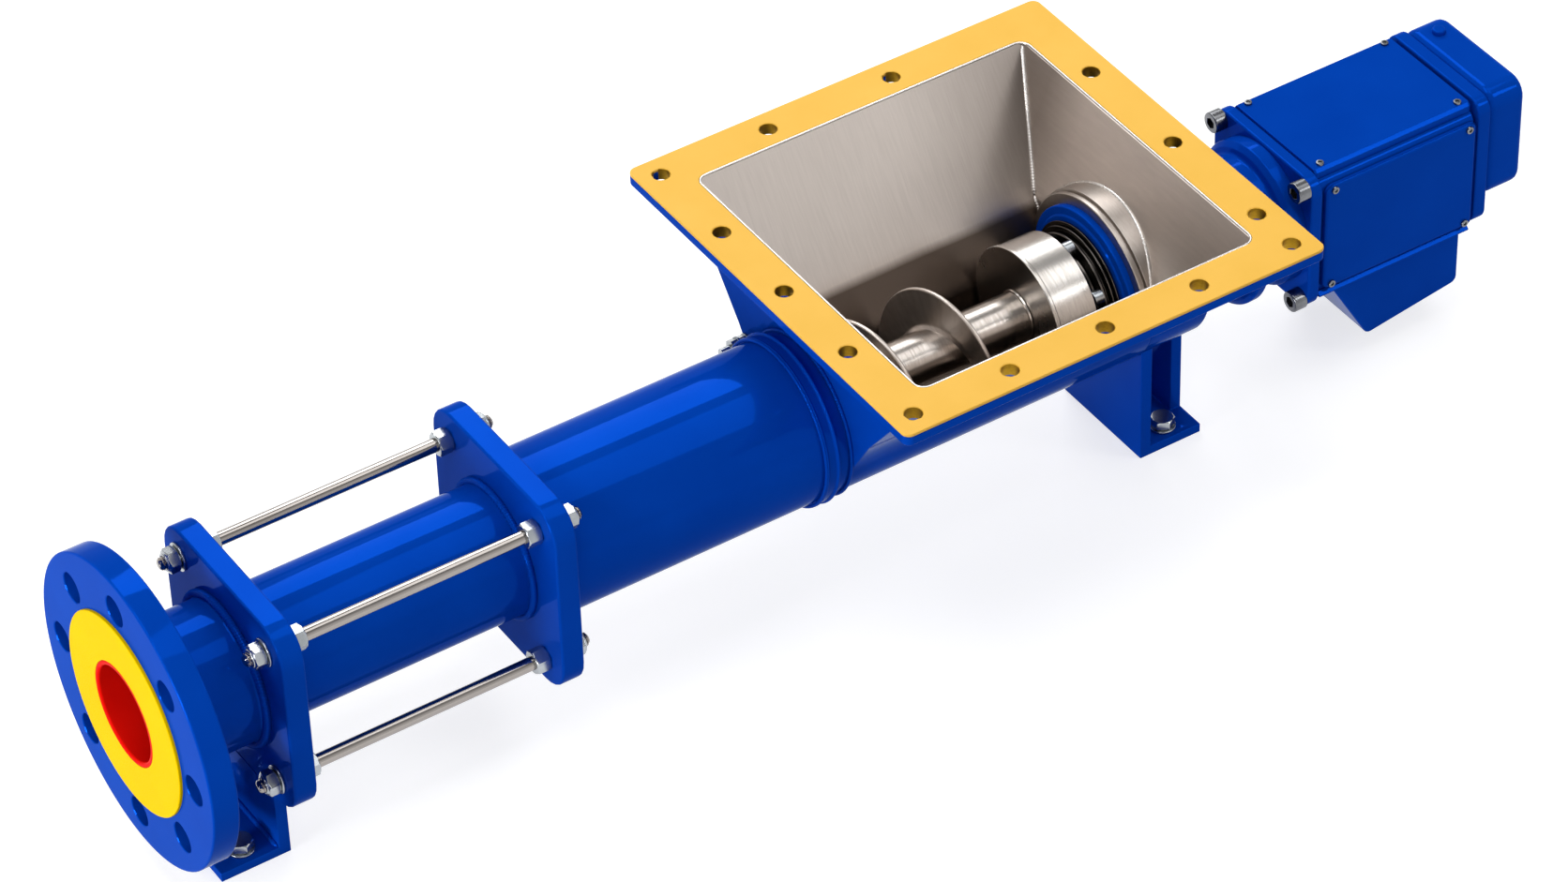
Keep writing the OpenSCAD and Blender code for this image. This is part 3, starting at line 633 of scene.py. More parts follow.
def box_outline(wide: float, high: float, corner: float, steps: int = 7) -> Array:
    """A rounded rectangle about the origin, with the same count of points for any size.

    Args:
        wide: Its width.
        high: Its height.
        corner: Its corner radius.
        steps: Points on each corner.

    Returns:
        The outline, counterclockwise.
    """
    k = np.linspace(0, math.pi / 2, steps)
    r = max(corner, 0.02)
    turn = np.arange(4)[:, None] * math.pi / 2 + k
    sx, sy = np.array([1, -1, -1, 1])[:, None], np.array([1, 1, -1, -1])[:, None]
    x = sx * (wide / 2 - r) + r * np.cos(turn)
    y = sy * (high / 2 - r) + r * np.sin(turn)
    return np.stack([x, y], -1).reshape(-1, 2)


def pillow(wide: float, high: float, corner: float, deep: float, edge: float, steps: int = 5) -> Array:
    """A rounded slab from depth 0 to deep: the outline shrinks along a quarter circle at both faces.

    Args:
        wide: Width of the outline.
        high: Height of the outline.
        corner: Its corner radius.
        deep: The slab's thickness.
        edge: Radius of the edge round each face.
        steps: Rows on each edge.

    Returns:
        A grid of rows by outline points, closed by a point at each end.
    """
    side, face = edge_arc(steps)
    inset = edge * np.concatenate([side, face])
    level = np.concatenate([edge * face, deep - edge * side])
    loops = [box_outline(wide - 2 * d, high - 2 * d, corner - d) for d in inset]
    rows = [np.column_stack([loop, np.full(len(loop), z)]) for loop, z in zip(loops, level)]
    tips = [np.tile([0.0, 0.0, z], (len(rows[0]), 1)) for z in (0.0, deep)]
    return np.stack([tips[0], *rows, tips[1]])


def hexagon(t: Array, flats: float) -> Array:
    """Distance to the side of a hexagon of that width across flats, at each angle."""
    return flats / 2 / np.cos((t + math.pi / 6) % (math.pi / 3) - math.pi / 6)


def nut(flats: float, bore: float, tall: float, dome: float = 0.0, sides: int = 72) -> Array:
    """A chamfered hexagon nut along X from 0 to tall, with a round locking collar before it.

    The side stands at the smaller of the hexagon and a cone that narrows towards both ends.

    Args:
        flats: Width across flats.
        bore: Radius of the hole.
        tall: Height of the hexagon.
        dome: Height of the collar, at negative x, or 0 for none.
        sides: Points round it.

    Returns:
        A grid of rows by sides, closed both ways.
    """
    t = np.linspace(0, TAU, sides, endpoint=False)
    side = hexagon(t, flats)
    c = flats / 2
    low = [(tall, bore), (tall, bore + 0.5), (tall, c * 0.94), (tall - 0.25, c * 1.0),
           (tall - 0.55, c * 1.05), (tall - 1.0, c * 1.16)]
    high = [(1.0, c * 1.16), (0.55, c * 1.05), (0.25, c), (0.0, c * 0.94)]
    k = np.linspace(0, math.pi / 2, 5)
    crown = np.column_stack([-dome + dome * 0.7 * (1 - np.sin(k)), c * 0.72 + c * 0.14 * (np.cos(k) - 0.2)])
    ring = [*map(tuple, crown), (-dome, bore + 0.4), (-dome * 0.8, bore)] if dome else [(0.0, bore)]
    rows = np.array([*low, *high, *ring])
    r = np.minimum(rows[:, 1:], side)
    return np.stack([rows[:, :1] + 0 * t, r * np.cos(t), r * np.sin(t)], -1)


def socket_head(radius: float, tall: float, key: float, sides: int = 48) -> Array:
    """A cap screw head along X from 0 to tall, with a hexagon socket sunk into its face at 0.

    Args:
        radius: Radius of the head.
        tall: Height of the head.
        key: Width of the socket across flats.
        sides: Points round it.

    Returns:
        A grid of rows by sides, which ends on its axis.
    """
    t = np.linspace(0, TAU, sides, endpoint=False)
    well = hexagon(t, key)
    side, face = edge_arc()
    edge, chamfer, sunk = 0.14 * radius, 0.15, tall * 0.5
    x = [sunk, sunk, chamfer, 0.0, *(edge * side)[::-1], tall, tall]
    rim = [0 * t + v for v in (radius - edge * face)[::-1]]
    r = [0 * t, well, well, well + chamfer, *rim, 0 * t + radius, 0 * t]
    return np.stack([np.stack([0 * t + v, q * np.cos(t), q * np.sin(t)], -1) for v, q in zip(x, r)])


def bead(path: Array, across: Array, over: Array, size: float, ripple: float = 1.7,
         closed: bool = True) -> Array:
    """A weld bead: a round cord along a path whose thickness pulses like overlapping scales.

    The radius is size times 1 + 0.16 times a sawtooth of the length run along the path, delayed by the
    square of the angle round the cord, so that each scale is a crescent.

    Args:
        path: Points along the weld.
        across: Unit vector across the weld at each point.
        over: Unit vector out of the weld at each point.
        size: Radius of the cord.
        ripple: Length of one scale.
        closed: Whether the path closes on itself.

    Returns:
        A grid of path points by points round the cord.
    """
    step = np.linalg.norm(np.roll(path, -1, 0) - path, axis=1)
    run = np.concatenate([[0], np.cumsum(step)[:-1]])
    if closed:
        run = run * round(step.sum() / ripple) * ripple / step.sum()
    q = np.linspace(-math.pi, math.pi, 12, endpoint=False)
    phase = (run[:, None] / ripple + 0.22 * (1 - np.cos(q))) % 1.0
    r = size * (1 + 0.16 * (phase - 0.5))
    if not closed:
        ends = np.minimum(1.0, np.minimum(run, run[-1] - run) / (2 * size) + 0.02)
        r = r * np.sqrt(ends)[:, None]
    return path[:, None] + r[..., None] * (
        np.cos(q)[None, :, None] * over[:, None] + np.sin(q)[None, :, None] * across[:, None]
    )


def ring_bead(x: float, radius: float, size: float, ripple: float = 1.7) -> Array:
    """A weld bead round the pump axis.

    Args:
        x: Where it runs.
        radius: Its distance from the axis.
        size: Radius of the cord.
        ripple: Length of one scale.

    Returns:
        A grid of path points by points round the cord.
    """
    t = np.linspace(0, TAU, max(120, int(TAU * radius / ripple * 5)), endpoint=False)
    out = np.stack([0 * t, np.cos(t), np.sin(t)], -1)
    along = np.broadcast_to([1.0, 0, 0], out.shape)
    return bead(radius * out + [x, 0, 0], along, out, size, ripple)


def line_bead(start: Sequence[float], end: Sequence[float], over: Sequence[float], size: float,
              ripple: float = 1.7) -> Array:
    """A straight weld bead.

    Args:
        start: Its first point.
        end: Its last point.
        over: The direction that it rises in, at any angle to the line.
        size: Radius of the cord.
        ripple: Length of one scale.

    Returns:
        A grid of path points by points round the cord.
    """
    a, b, o = (np.asarray(v, float) for v in (start, end, over))
    way = (b - a) / np.linalg.norm(b - a)
    o = o - way * (o @ way)
    o = o / np.linalg.norm(o)
    k = np.linspace(0, 1, max(24, int(np.linalg.norm(b - a) / ripple * 5)))[:, None]
    wide = np.ones_like(k)
    return bead(a + (b - a) * k, wide * np.cross(way, o), wide * o, size, ripple, closed=False)


def swap(grid: Array) -> Array:
    """Turns a shape drawn along X into one drawn in u, v and depth."""
    return grid[..., [1, 2, 0]]


def flip(grid: Array, tall: float) -> Array:
    """Turns a shape drawn in u, v and depth upside down within its height."""
    return grid * [1, 1, -1] + [0, 0, tall]


def turn_x(angle: float) -> Array:
    """The matrix that turns row vectors about X."""
    c, s = math.cos(angle), math.sin(angle)
    return np.array([[1, 0, 0], [0, c, s], [0, -s, c]])


class Facing(Enum):
    """Which way the depth of a flat-drawn shape runs; the rows are its u, v and depth axes."""

    X = ((0, 1, 0), (0, 0, 1), (1, 0, 0))
    MINUS_X = ((0, 1, 0), (0, 0, 1), (-1, 0, 0))
    MINUS_Y = ((1, 0, 0), (0, 0, 1), (0, -1, 0))
    Z = ((1, 0, 0), (0, 1, 0), (0, 0, 1))

    def place(self, grid: Array, at: Sequence[float]) -> Array:
        """Turns a grid of u, v and depth into the pump's frame and puts its origin at a point."""
        return grid @ np.array(self.value, float) + np.asarray(at, float)


@dataclass
class Skin:
    """Grids of points that close one or more solids, in millimetres."""

    points: list[Array] = field(default_factory=list)
    faces: list[Array] = field(default_factory=list)
    count: int = 0

    def add(self, *grids: Array, wrap_rows: bool = False, wrap_columns: bool = True) -> "Skin":
        """Adds grids that close a solid together, and turns their faces outwards.

        The solid's volume is the sum over its faces of the triple product of their corners over six, and
        its sign says whether the faces point inwards.

        Args:
            grids: Grids of rows by columns by three.
            wrap_rows: Whether the last row joins the first.
            wrap_columns: Whether the last column joins the first.

        Returns:
            This skin.
        """
        volume, made = 0.0, []
        for grid in grids:
            n, m = grid.shape[:2]
            i = np.arange(n if wrap_rows else n - 1)[:, None]
            j = np.arange(m if wrap_columns else m - 1)[None]
            i2, j2 = (i + 1) % n, (j + 1) % m
            quads = np.stack([i * m + j, i2 * m + j, i2 * m + j2, i * m + j2], -1).reshape(-1, 4)
            flat = grid.reshape(-1, 3)
            a, b, c, d = (flat[quads[:, k]] for k in range(4))
            volume += (np.cross(a, b) * c + np.cross(a, c) * d).sum()
            made.append(quads + self.count)
            self.points.append(flat)
            self.count += len(flat)
        quads = np.concatenate(made)
        self.faces.append(quads[:, ::-1] if volume < 0 else quads)
        return self

    def turned(self, corners: Sequence[tuple[float, float]], radii: float | Sequence[float] = 0.6,
               sides: int = 96, about: tuple[float, float] = (0.0, 0.0)) -> "Skin":
        """Adds a ring whose section is an outline of x and radius with rounded corners."""
        return self.add(turned(rounded(corners, radii), sides, about), wrap_rows=True)

    def ring_welds(self, *rings: tuple[float, ...]) -> "Skin":
        """Adds weld beads round the pump axis.

        Args:
            rings: What ring_bead takes, for each bead.

        Returns:
            This skin.
        """
        for ring in rings:
            self.add(ring_bead(*ring), wrap_rows=True)
        return self

    def merged(self) -> tuple[Array, list[list[int]]]:
        """Joins points that coincide and drops the corners that faces lose by it.

        Returns:
            The points in metres and the faces.
        """
        flat = np.concatenate(self.points)
        _, first, index = np.unique(np.round(flat, 3), axis=0, return_index=True, return_inverse=True)
        f = index.reshape(-1)[np.concatenate(self.faces)]
        keep = f != np.roll(f, 1, 1)
        sides = keep.sum(1)
        quads = f[sides == 4].tolist()
        three = f[sides == 3]
        tris = three[keep[sides == 3]].reshape(-1, 3).tolist()
        return flat[first] * MM, quads + tris

    def piece(self, name: str, finish: Finish, body: Body = Body.PUMP, nodes: Sequence[str] = (),
              smooth: float = 35.0) -> bpy.types.Object:
        """Makes the mesh object, dresses it and ties it to the frame.

        Args:
            name: The piece's name.
            finish: Its finish.
            body: The body that it rides on.
            nodes: The CAD nodes that it stands for.
            smooth: Angle in degrees over which an edge shows sharp.

        Returns:
            The object.
        """
        points, faces = self.merged()
        mesh = bpy.data.meshes.new(name)
        mesh.from_pydata(points.tolist(), [], faces)
        mesh.polygons.foreach_set("use_smooth", np.ones(len(mesh.polygons), bool))
        mesh.set_sharp_from_angle(angle=math.radians(smooth))
        made = bpy.data.objects.new(name, mesh)
        bpy.context.scene.collection.objects.link(made)
        weighted = made.modifiers.new("even_faces", "WEIGHTED_NORMAL")
        weighted.keep_sharp = True
        return tie(made, finish, body, nodes)


def tie(made: bpy.types.Object, finish: Finish, body: Body, nodes: Sequence[str]) -> bpy.types.Object:
    """Gives an object its finish and its place in the mechanism, and reports it.

    Args:
        made: The object.
        finish: Its finish.
        body: The body that it rides on.
        nodes: The CAD nodes that it stands for.

    Returns:
        The object.
    """
    made.data.materials.clear()
    made.data.materials.append(finish.material())
    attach(made, body.value)
    if nodes:
        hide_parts(*nodes)
    LOG.info("piece %s on %s: %d faces", made.name, body.value, len(made.data.polygons))
    return made


def dress(finish: Finish, *nodes: str) -> None:
    """Gives CAD nodes a finish and leaves their shape.

    Args:
        finish: The finish.
        nodes: The nodes' names.
    """
    for name in nodes:
        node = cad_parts[name]
        node.data.materials.clear()
        node.data.materials.append(finish.material())
        LOG.info("node %s in %s", name, finish.value.name)


def softened(node: str, finish: Finish, width: float, body: Body = Body.PUMP) -> bpy.types.Object:
    """A copy of a CAD node's solid with its points joined and its edges rounded.

    Args:
        node: The CAD node.
        finish: Its finish.
        width: Width of the rounded edges in millimetres.
        body: The body that it rides on.

    Returns:
        The piece that replaces the node.
    """
    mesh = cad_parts[node].data.copy()
    made = bpy.data.objects.new(node + "_rounded", mesh)
    bpy.context.scene.collection.objects.link(made)
    work = bmesh.new()
    work.from_mesh(mesh)
    bmesh.ops.remove_doubles(work, verts=work.verts, dist=1e-6)
    bmesh.ops.dissolve_limit(work, angle_limit=math.radians(1.0), verts=work.verts, edges=work.edges)
    work.to_mesh(mesh)
    work.free()
    mesh.polygons.foreach_set("use_smooth", np.ones(len(mesh.polygons), bool))
    edge = made.modifiers.new("edges", "BEVEL")
    edge.width, edge.segments = width * MM, 3
    edge.limit_method, edge.angle_limit = "ANGLE", math.radians(35)
    edge.harden_normals = True
    return tie(made, finish, body, [node])


def drilled(outer: Array, inner: Array, cells: Sequence[tuple[Array, tuple[float, float]]], hole: float,
            thick: float, edge: float, soft: float = 0.5) -> list[Array]:
    """A drilled plate with rounded edges, from depth 0 to thick.

    Each cell is the flat ground round one hole: rows run from the cell's border straight to the hole, down
    its wall past a small countersink, and back out on the other face. The plate's outer and inner edges
    are quarter circles between both faces, drawn from loops that share the cells' border points.

    Args:
        outer: Loops, rows by points by two, from the face's border out to the plate's side.
        inner: The same for the opening, from the face's border in to the wall.
        cells: Border loop and hole centre of each cell, counterclockwise.
        hole: Radius of the holes.
        thick: Thickness of the plate.
        edge: Radius of the rounded edges.
        soft: Size of the countersink.

    Returns:
        Grids that close the plate together.
    """
    grids = []
    for border, centre in cells:
        middle = np.asarray(centre)
        way = border - middle
        way = way / np.linalg.norm(way, axis=1, keepdims=True)
        rows = [(border, 0.0), (middle + way * (hole + soft), 0.0), (middle + way * hole, soft),
                (middle + way * hole, thick - soft), (middle + way * (hole + soft), thick), (border, thick)]
        grids.append(np.stack([np.column_stack([p, np.full(len(p), z)]) for p, z in rows]))
    down = edge * edge_arc(len(outer))[1]
    for loops, front_first in ((outer, False), (inner, True)):
        front = [np.column_stack([p, np.full(len(p), z)]) for p, z in zip(loops, down)]
        back = [np.column_stack([p, np.full(len(p), thick - z)]) for p, z in zip(loops, down)][::-1]
        rows = np.stack(front + back)
        grids.append(rows if front_first else rows[::-1])
    return grids


# ---------------------------------------------------------------- outlines of drilled plates


def spokes(first: Array, last: Array, count: int) -> Array:
    """The points strictly between two points, as rows."""
    return first + (last - first) * np.linspace(0, 1, count + 2)[1:-1, None]


def cell_border(outside: Array, inside: Array, count: int = 4) -> Array:
    """A cell's border.

    Args:
        outside: Its outer part, counterclockwise about the plate.
        inside: Its inner part, the same way round.
        count: Points on each of the straight lines that join them.

    Returns:
        The border, counterclockwise about the cell.
    """
    return np.concatenate([
        outside, spokes(outside[-1], inside[-1], count), inside[::-1], spokes(inside[0], outside[0], count)
    ])


def circle_points(radius: float, start: float, end: float, count: int) -> Array:
    """Points of an arc from start to end in degrees, both included."""
    t = np.radians(np.linspace(start, end, count))
    return radius * np.stack([np.cos(t), np.sin(t)], -1)


# Steps along a plate's side for each cell, and from a side's last cut round the corner.
CELL_POINTS = 8
CORNER_POINTS = 12


def quarter_points(half: float, corner: float, cuts: Sequence[float], after: float) -> Array:
    """One quarter of a rounded square: up its +u side, round the corner and back along its +v side.

    Each cell takes CELL_POINTS steps, and what follows the last cut takes CORNER_POINTS.

    Args:
        half: Half the side.
        corner: Corner radius.
        cuts: Places along the side where one cell ends and the next starts.
        after: The u at which the quarter ends, where the next side's first cell starts.

    Returns:
        The points, both ends included.
    """
    steps = [np.linspace(a, b, CELL_POINTS + 1)[:-1] for a, b in zip(cuts, cuts[1:])]
    side = np.concatenate([*steps, [cuts[-1]]])
    flat = half - corner
    up = np.column_stack([np.full_like(side, half), side])
    rise = np.column_stack([np.full(2, half), np.linspace(cuts[-1], flat, 4)[1:-1]])
    bend = flat + circle_points(corner, 0, 90, CORNER_POINTS - 5)
    back = np.column_stack([np.linspace(flat, after, 4)[1:], np.full(3, half)])
    return np.concatenate([up, rise, bend, back])


def quarter_turn(points: Array, turns: int) -> Array:
    """Points of the plane turned by quarter turns."""
    c, s = ((1, 0), (0, 1), (-1, 0), (0, -1))[turns]
    return points @ np.array([[c, s], [-s, c]], float)


# How far from a corner of the rim's square its cuts stay: a hair more than its widest corner radius.
STRAIGHT_SPARE = 7.61


@dataclass(frozen=True, eq=False)
class HoleRow:
    """Bolt holes along one side of the rim, the cuts between their cells, and whether its corner has one.

    Rows compare by identity, so that two sides with the same holes stay two members of RimSide.
    """

    holes: tuple[float, ...]
    cuts: tuple[float, ...]
    corner_hole: bool = True


class RimSide(Enum):
    """The rim's sides, counterclockwise from the motor side; places run counterclockwise from the middle."""

    MOTOR = HoleRow((-94.0, -15.0, 64.5), (-110.0, -54.5, 24.75, 104.0), False)
    FAR = HoleRow((-30.0, 54.0), (-104.0, 12.0, 90.0))
    FRONT = HoleRow((-63.0, 0.0, 63.0), (-94.5, -31.5, 31.5, 94.5))
    NEAR = HoleRow((-63.0, 0.0, 63.0), (-94.5, -31.5, 31.5, 94.5))

    def cuts(self, half: float) -> list[float]:
        """The cuts, kept to the straight part of a square of that half side."""
        reach = half - STRAIGHT_SPARE
        return [min(max(v, -reach), reach) for v in self.value.cuts]


# ---------------------------------------------------------------- sub-assemblies


@dataclass
class DischargeEnd:
    """The flange with its yellow face, the red lined bore and the welded neck."""

    outside: float = 92.5
    bolt_circle: float = 72.5
    hole: float = 9.0
    holes: int = 8
    face: tuple[float, float] = (31.1, 60.0)
    face_thick: float = 2.0
    back: float = 18.0
    neck: tuple[float, float] = (36.1, 42.0)
    bore: float = 28.0
    plate_x: float = 64.0
    edge: float = 1.2
    soft: float = 0.3

    def flange(self) -> None:
        """The drilled flange, eight cells round its hole circle."""
        wide = 360 / self.holes
        inner, per = self.neck[1] + 0.1, 15
        cells = []
        for turn in np.arange(self.holes) * wide:
            span = (turn - wide / 2, turn + wide / 2, per)
            border = cell_border(circle_points(self.outside - self.edge, *span),
                                 circle_points(inner + self.soft, *span))
            cells.append((border, tuple(circle_points(self.bolt_circle, turn, turn, 1)[0])))
        full = (-wide / 2, 360 - wide / 2, self.holes * (per - 1) + 1)
        side, _ = edge_arc()
        outer = [circle_points(self.outside - self.edge * v, *full)[:-1] for v in side]
        wall = [circle_points(inner + self.soft * v, *full)[:-1] for v in side]
        thick = self.back - self.face_thick
        grids = drilled(np.array(outer), np.array(wall), cells, self.hole, thick, self.edge)
        placed = [Facing.X.place(g, (self.face_thick, 0, 0)) for g in grids]
        Skin().add(*placed).piece("flange_drilled", Finish.BLUE, nodes=["discharge_flange"])

    def build(self) -> None:
        """Builds every piece of the discharge end."""
        self.flange()
        inner, outer = self.face
        front, back, end = self.face_thick, self.back, self.plate_x
        face = Skin().turned([(0, inner), (0, outer), (front, outer), (front, inner)],
                             [0.25, 0.7, 0.1, 0.1], 144)
        face.piece("face_sheet", Finish.YELLOW, nodes=["face_ring"])
        b = self.bore
        lining = Skin().turned([(0, b), (0, b + 3), (front, b + 3), (front, b + 8), (end, b + 8), (end, b)],
                               [2.2, 0.4, 0.1, 0.1, 0.1, 0.1], 144)
        lining.piece("lining_sleeve", Finish.RED, nodes=["bore_lining"])
        a, n = self.neck
        pipe = Skin().turned([(front, a), (front, n), (back, n), (back, n + 2.4), (back + 3, n), (end - 4, n),
                              (end, n + 3.6), (end, a)], [0.2, 0.2, 0.1, 0.6, 2, 3, 0.6, 0.1], 128)
        pipe.piece("neck_pipe", Finish.BLUE, nodes=["discharge_neck"])
        Skin().ring_welds((back + 1.3, n + 1.1, 1.9), (end - 1.9, n + 2.0, 2.3)).piece(
            "neck_welds", Finish.BLUE)


@dataclass
class StatorSection:
    """Two clamping plates, the stator tube with its rubber, and the tie rods with their nuts."""

    plates: tuple[float, float] = (64.0, 232.0)
    thick: float = 14.0
    side: float = 128.0
    corner: float = 20.0
    bore: float = 35.1
    rod_half: float = 46.0
    rod: float = 4.0
    flats: float = 13.0
    nut_tall: float = 7.0
    collar_tall: float = 9.0
    washer: float = 8.5
    washer_thick: float = 1.6
    tube: float = 39.0
    edge: float = 1.4
    pitch: float = 1.25
    thread: float = 15.0
    thread_deep: float = 0.65
    proud: float = 4.0
    soft: float = 0.3
    rubber: float = 35.0
    slot_round: float = 15.7
    slot_half: float = 12.0
    slot_pitch: float = 112.0

    def corners(self) -> list[tuple[float, float]]:
        """The y and z of the four tie rods."""
        return [(a * self.rod_half, b * self.rod_half) for a in (-1, 1) for b in (-1, 1)]

    def plate(self, x: float, name: str, node: str) -> None:
        """A square clamping plate with rounded corners, its bore and four rod holes.

        Args:
            x: Where its front face stands.
            name: The piece's name.
            node: The CAD node that it stands for.
        """
        half, (side, _) = self.side / 2, edge_arc()
        count = len(quarter_points(half, self.corner, (0.0,), 0.0))

        def loop(d: float) -> Array:
            """The plate's outline moved inwards by d, from the middle of its +u side."""
            quarter = quarter_points(half - d, self.corner - d, (0.0,), 0.0)
            return np.concatenate([quarter_turn(quarter[:-1], q) for q in range(4)])

        outer = np.array([loop(d) for d in self.edge * side])
        total = 4 * (count - 1)
        circle = circle_points(1.0, 0, 360, total + 1)[:-1]
        wall = (self.bore + self.soft * side)[:, None, None] * circle
        cells = []
        for q in range(4):
            pick = (q * (count - 1) + np.arange(count)) % total
            centre = quarter_turn(np.array([[self.rod_half, self.rod_half]]), q)[0]
            cells.append((cell_border(outer[0][pick], wall[0][pick], 3), tuple(centre)))
        grids = drilled(outer, wall, cells, self.rod + self.soft, self.thick, self.edge, self.soft)
        placed = [Facing.X.place(g, (x, 0, 0)) for g in grids]
        Skin().add(*placed).piece(name, Finish.BLUE, nodes=[node])

    def rods(self) -> None:
        """The tie rods: smooth in the middle, a 60 degree thread at both ends.

        The radius over a thread is the rod's radius less a triangle wave of x / pitch minus the angle / 2 pi.
        """
        first = self.plates[0] - self.washer_thick - self.nut_tall - self.proud
        last = self.plates[1] + self.thick + self.washer_thick + self.nut_tall + self.proud
        per = self.pitch / 8
        ends = np.arange(first + 1, first + self.thread + 0.01, per)
        x = np.concatenate([ends, np.linspace(ends[-1] + 2, last + first - ends[-1] - 2, 12),
                            (last + first - ends)[::-1]])
        t = np.linspace(0, TAU, 32, endpoint=False)
        reach = np.clip((self.thread - np.minimum(x - first, last - x)) / 2.5, 0, 1)[:, None]
        wave = np.abs(((x[:, None] / self.pitch - t / TAU) % 1.0) * 2 - 1)
        r = self.rod - self.thread_deep * reach * (1 - wave)
        skin = Skin()
        for y, z in self.corners():
            grid = np.stack([x[:, None] + 0 * t, y + r * np.cos(t), z + r * np.sin(t)], -1)
            head = turned(np.array([(first, 0.0), (first, self.rod - 1.4)]), len(t), (y, z))
            tail = turned(np.array([(last, self.rod - 1.4), (last, 0.0)]), len(t), (y, z))
            skin.add(np.concatenate([head, grid, tail]))
        skin.piece("threaded_rods", Finish.ROD, nodes=["tie_rods"], smooth=50)

    def fasteners(self) -> None:
        """Lock nuts, washers and the inner hexagon collars on the rods."""
        front, rear = self.plates[0], self.plates[1] + self.thick
        reach = self.washer_thick + self.nut_tall
        hole = self.rod + 0.2
        nuts, washers, collars = Skin(), Skin(), Skin()
        for i, (y, z) in enumerate(self.corners()):
            shape = nut(self.flats, self.rod + 0.1, self.nut_tall, 1.0) @ turn_x(0.4 * i + 0.2)
            for x, facing in ((front - reach, Facing.X), (rear + reach, Facing.MINUS_X)):
                nuts.add(facing.place(swap(shape), (x, y, z)), wrap_rows=True)
            for x in (front - self.washer_thick, rear):
                end = x + self.washer_thick
                ring = [(x, hole), (x, self.washer), (end, self.washer), (end, hole)]
                washers.turned(ring, 0.5, 48, (y, z))
            inner = nut(self.flats, self.rod + 0.1, self.collar_tall) @ turn_x(0.5 * i)
            for x, facing in ((front + self.thick, Facing.X), (self.plates[1], Facing.MINUS_X)):
                collars.add(facing.place(swap(inner), (x, y, z)), wrap_rows=True)
        nuts.piece("lock_nuts", Finish.ZINC, nodes=["tie_rod_nuts"])
        washers.piece("nut_washers", Finish.ZINC, nodes=["tie_rod_washers"])
        collars.piece("hexagon_collars", Finish.ZINC, nodes=["tie_rod_collars"])

    def cavity(self) -> None:
        """The rubber stator: outside a cylinder, inside a slot of two round ends that turns once in a pitch.

        At the angle a from its long axis the slot's wall stands at h cos a + sqrt(r^2 - h^2 sin^2 a) where it
        is round, and at r / |sin a| where it is flat, with h half the distance of the two centres.
        """
        r, h = self.slot_round, self.slot_half
        a = np.linspace(0, TAU, 96, endpoint=False)
        fold = np.abs((a + math.pi / 2) % math.pi - math.pi / 2)
        root = np.sqrt(np.maximum(r * r - (h * np.sin(fold)) ** 2, 0))
        wall = np.where(np.tan(fold) > r / h, r / np.maximum(np.sin(fold), 1e-6), h * np.cos(fold) + root)
        start, end = self.plates[0], self.plates[1] + self.thick
        x = np.linspace(start, end, 120)
        twist = (x[:, None] - start) / self.slot_pitch * TAU + a
        inside = np.stack([x[:, None] + 0 * a, wall * np.sin(twist), -wall * np.cos(twist)], -1)
        flat = np.stack([x[:, None] + 0 * a, self.rubber * np.sin(twist), -self.rubber * np.cos(twist)], -1)
        Skin().add(np.concatenate([inside, flat[::-1]]), wrap_rows=True).piece(
            "stator_cavity", Finish.RUBBER, nodes=["stator_rubber"])

    def build(self) -> None:
        """Builds every piece of the stator section."""
        self.plate(self.plates[0], "front_clamp", "front_plate")
        self.plate(self.plates[1], "rear_clamp", "rear_plate")
        a, b, r, bore = self.plates[0] + self.thick, self.plates[1], self.tube, self.bore
        pipe = Skin().turned([(a, bore), (a, r + 2.6), (a + 3, r), (b - 3, r), (b, r + 2.6), (b, bore)],
                             [0.1, 0.6, 3, 3, 0.6, 0.1], 128)
        pipe.piece("stator_pipe", Finish.BLUE, nodes=["stator_tube"])
        Skin().ring_welds((a + 1.5, r + 1.2, 1.9), (b - 1.6, r + 1.3, 2.0)).piece("stator_welds", Finish.BLUE)
        self.cavity()
        self.rods()
        self.fasteners()


@dataclass
class FeedTube:
    """The wide tube between the stator and the hopper, with its welded double collar."""

    start: float = 246.0
    end: float = 432.0
    radius: float = 48.6
    inside: float = 45.6
    collar: tuple[float, float] = (414.0, 423.0)

    def build(self) -> None:
        """Builds the tube, its collar and its welds."""
        s, e, r = self.start, self.end, self.radius
        pipe = Skin().turned([(s, self.inside), (s, r + 2.6), (s + 3, r), (e, r), (e, self.inside)],
                             [0.1, 0.6, 3, 0.1, 0.1], 144)
        pipe.piece("feed_pipe", Finish.BLUE, nodes=["feed_tube"])
        c, d = self.collar
        collar = Skin().turned([(c, r + 0.1), (c, r + 2.0), (c + 1.2, r + 2.7), (c + 2.2, r + 2.0),
                                (d - 2.4, r + 1.8), (d - 1.2, r + 2.7), (d, r + 2.2), (d, r + 0.1)],
                               [0.1, 0.6, 0.6, 0.8, 0.8, 0.6, 0.6, 0.1], 144)
        collar.piece("double_collar", Finish.BLUE, nodes=["feed_collar"])
        welds = Skin().ring_welds((s + 1.6, r + 1.2, 1.9), (c + 0.2, r + 1.5, 1.0, 1.9),
                                  (d - 1.0, r + 2.0, 1.0, 1.7), (e - 0.8, r + 0.7, 1.2, 1.9))
        welds.piece("feed_welds", Finish.BLUE)


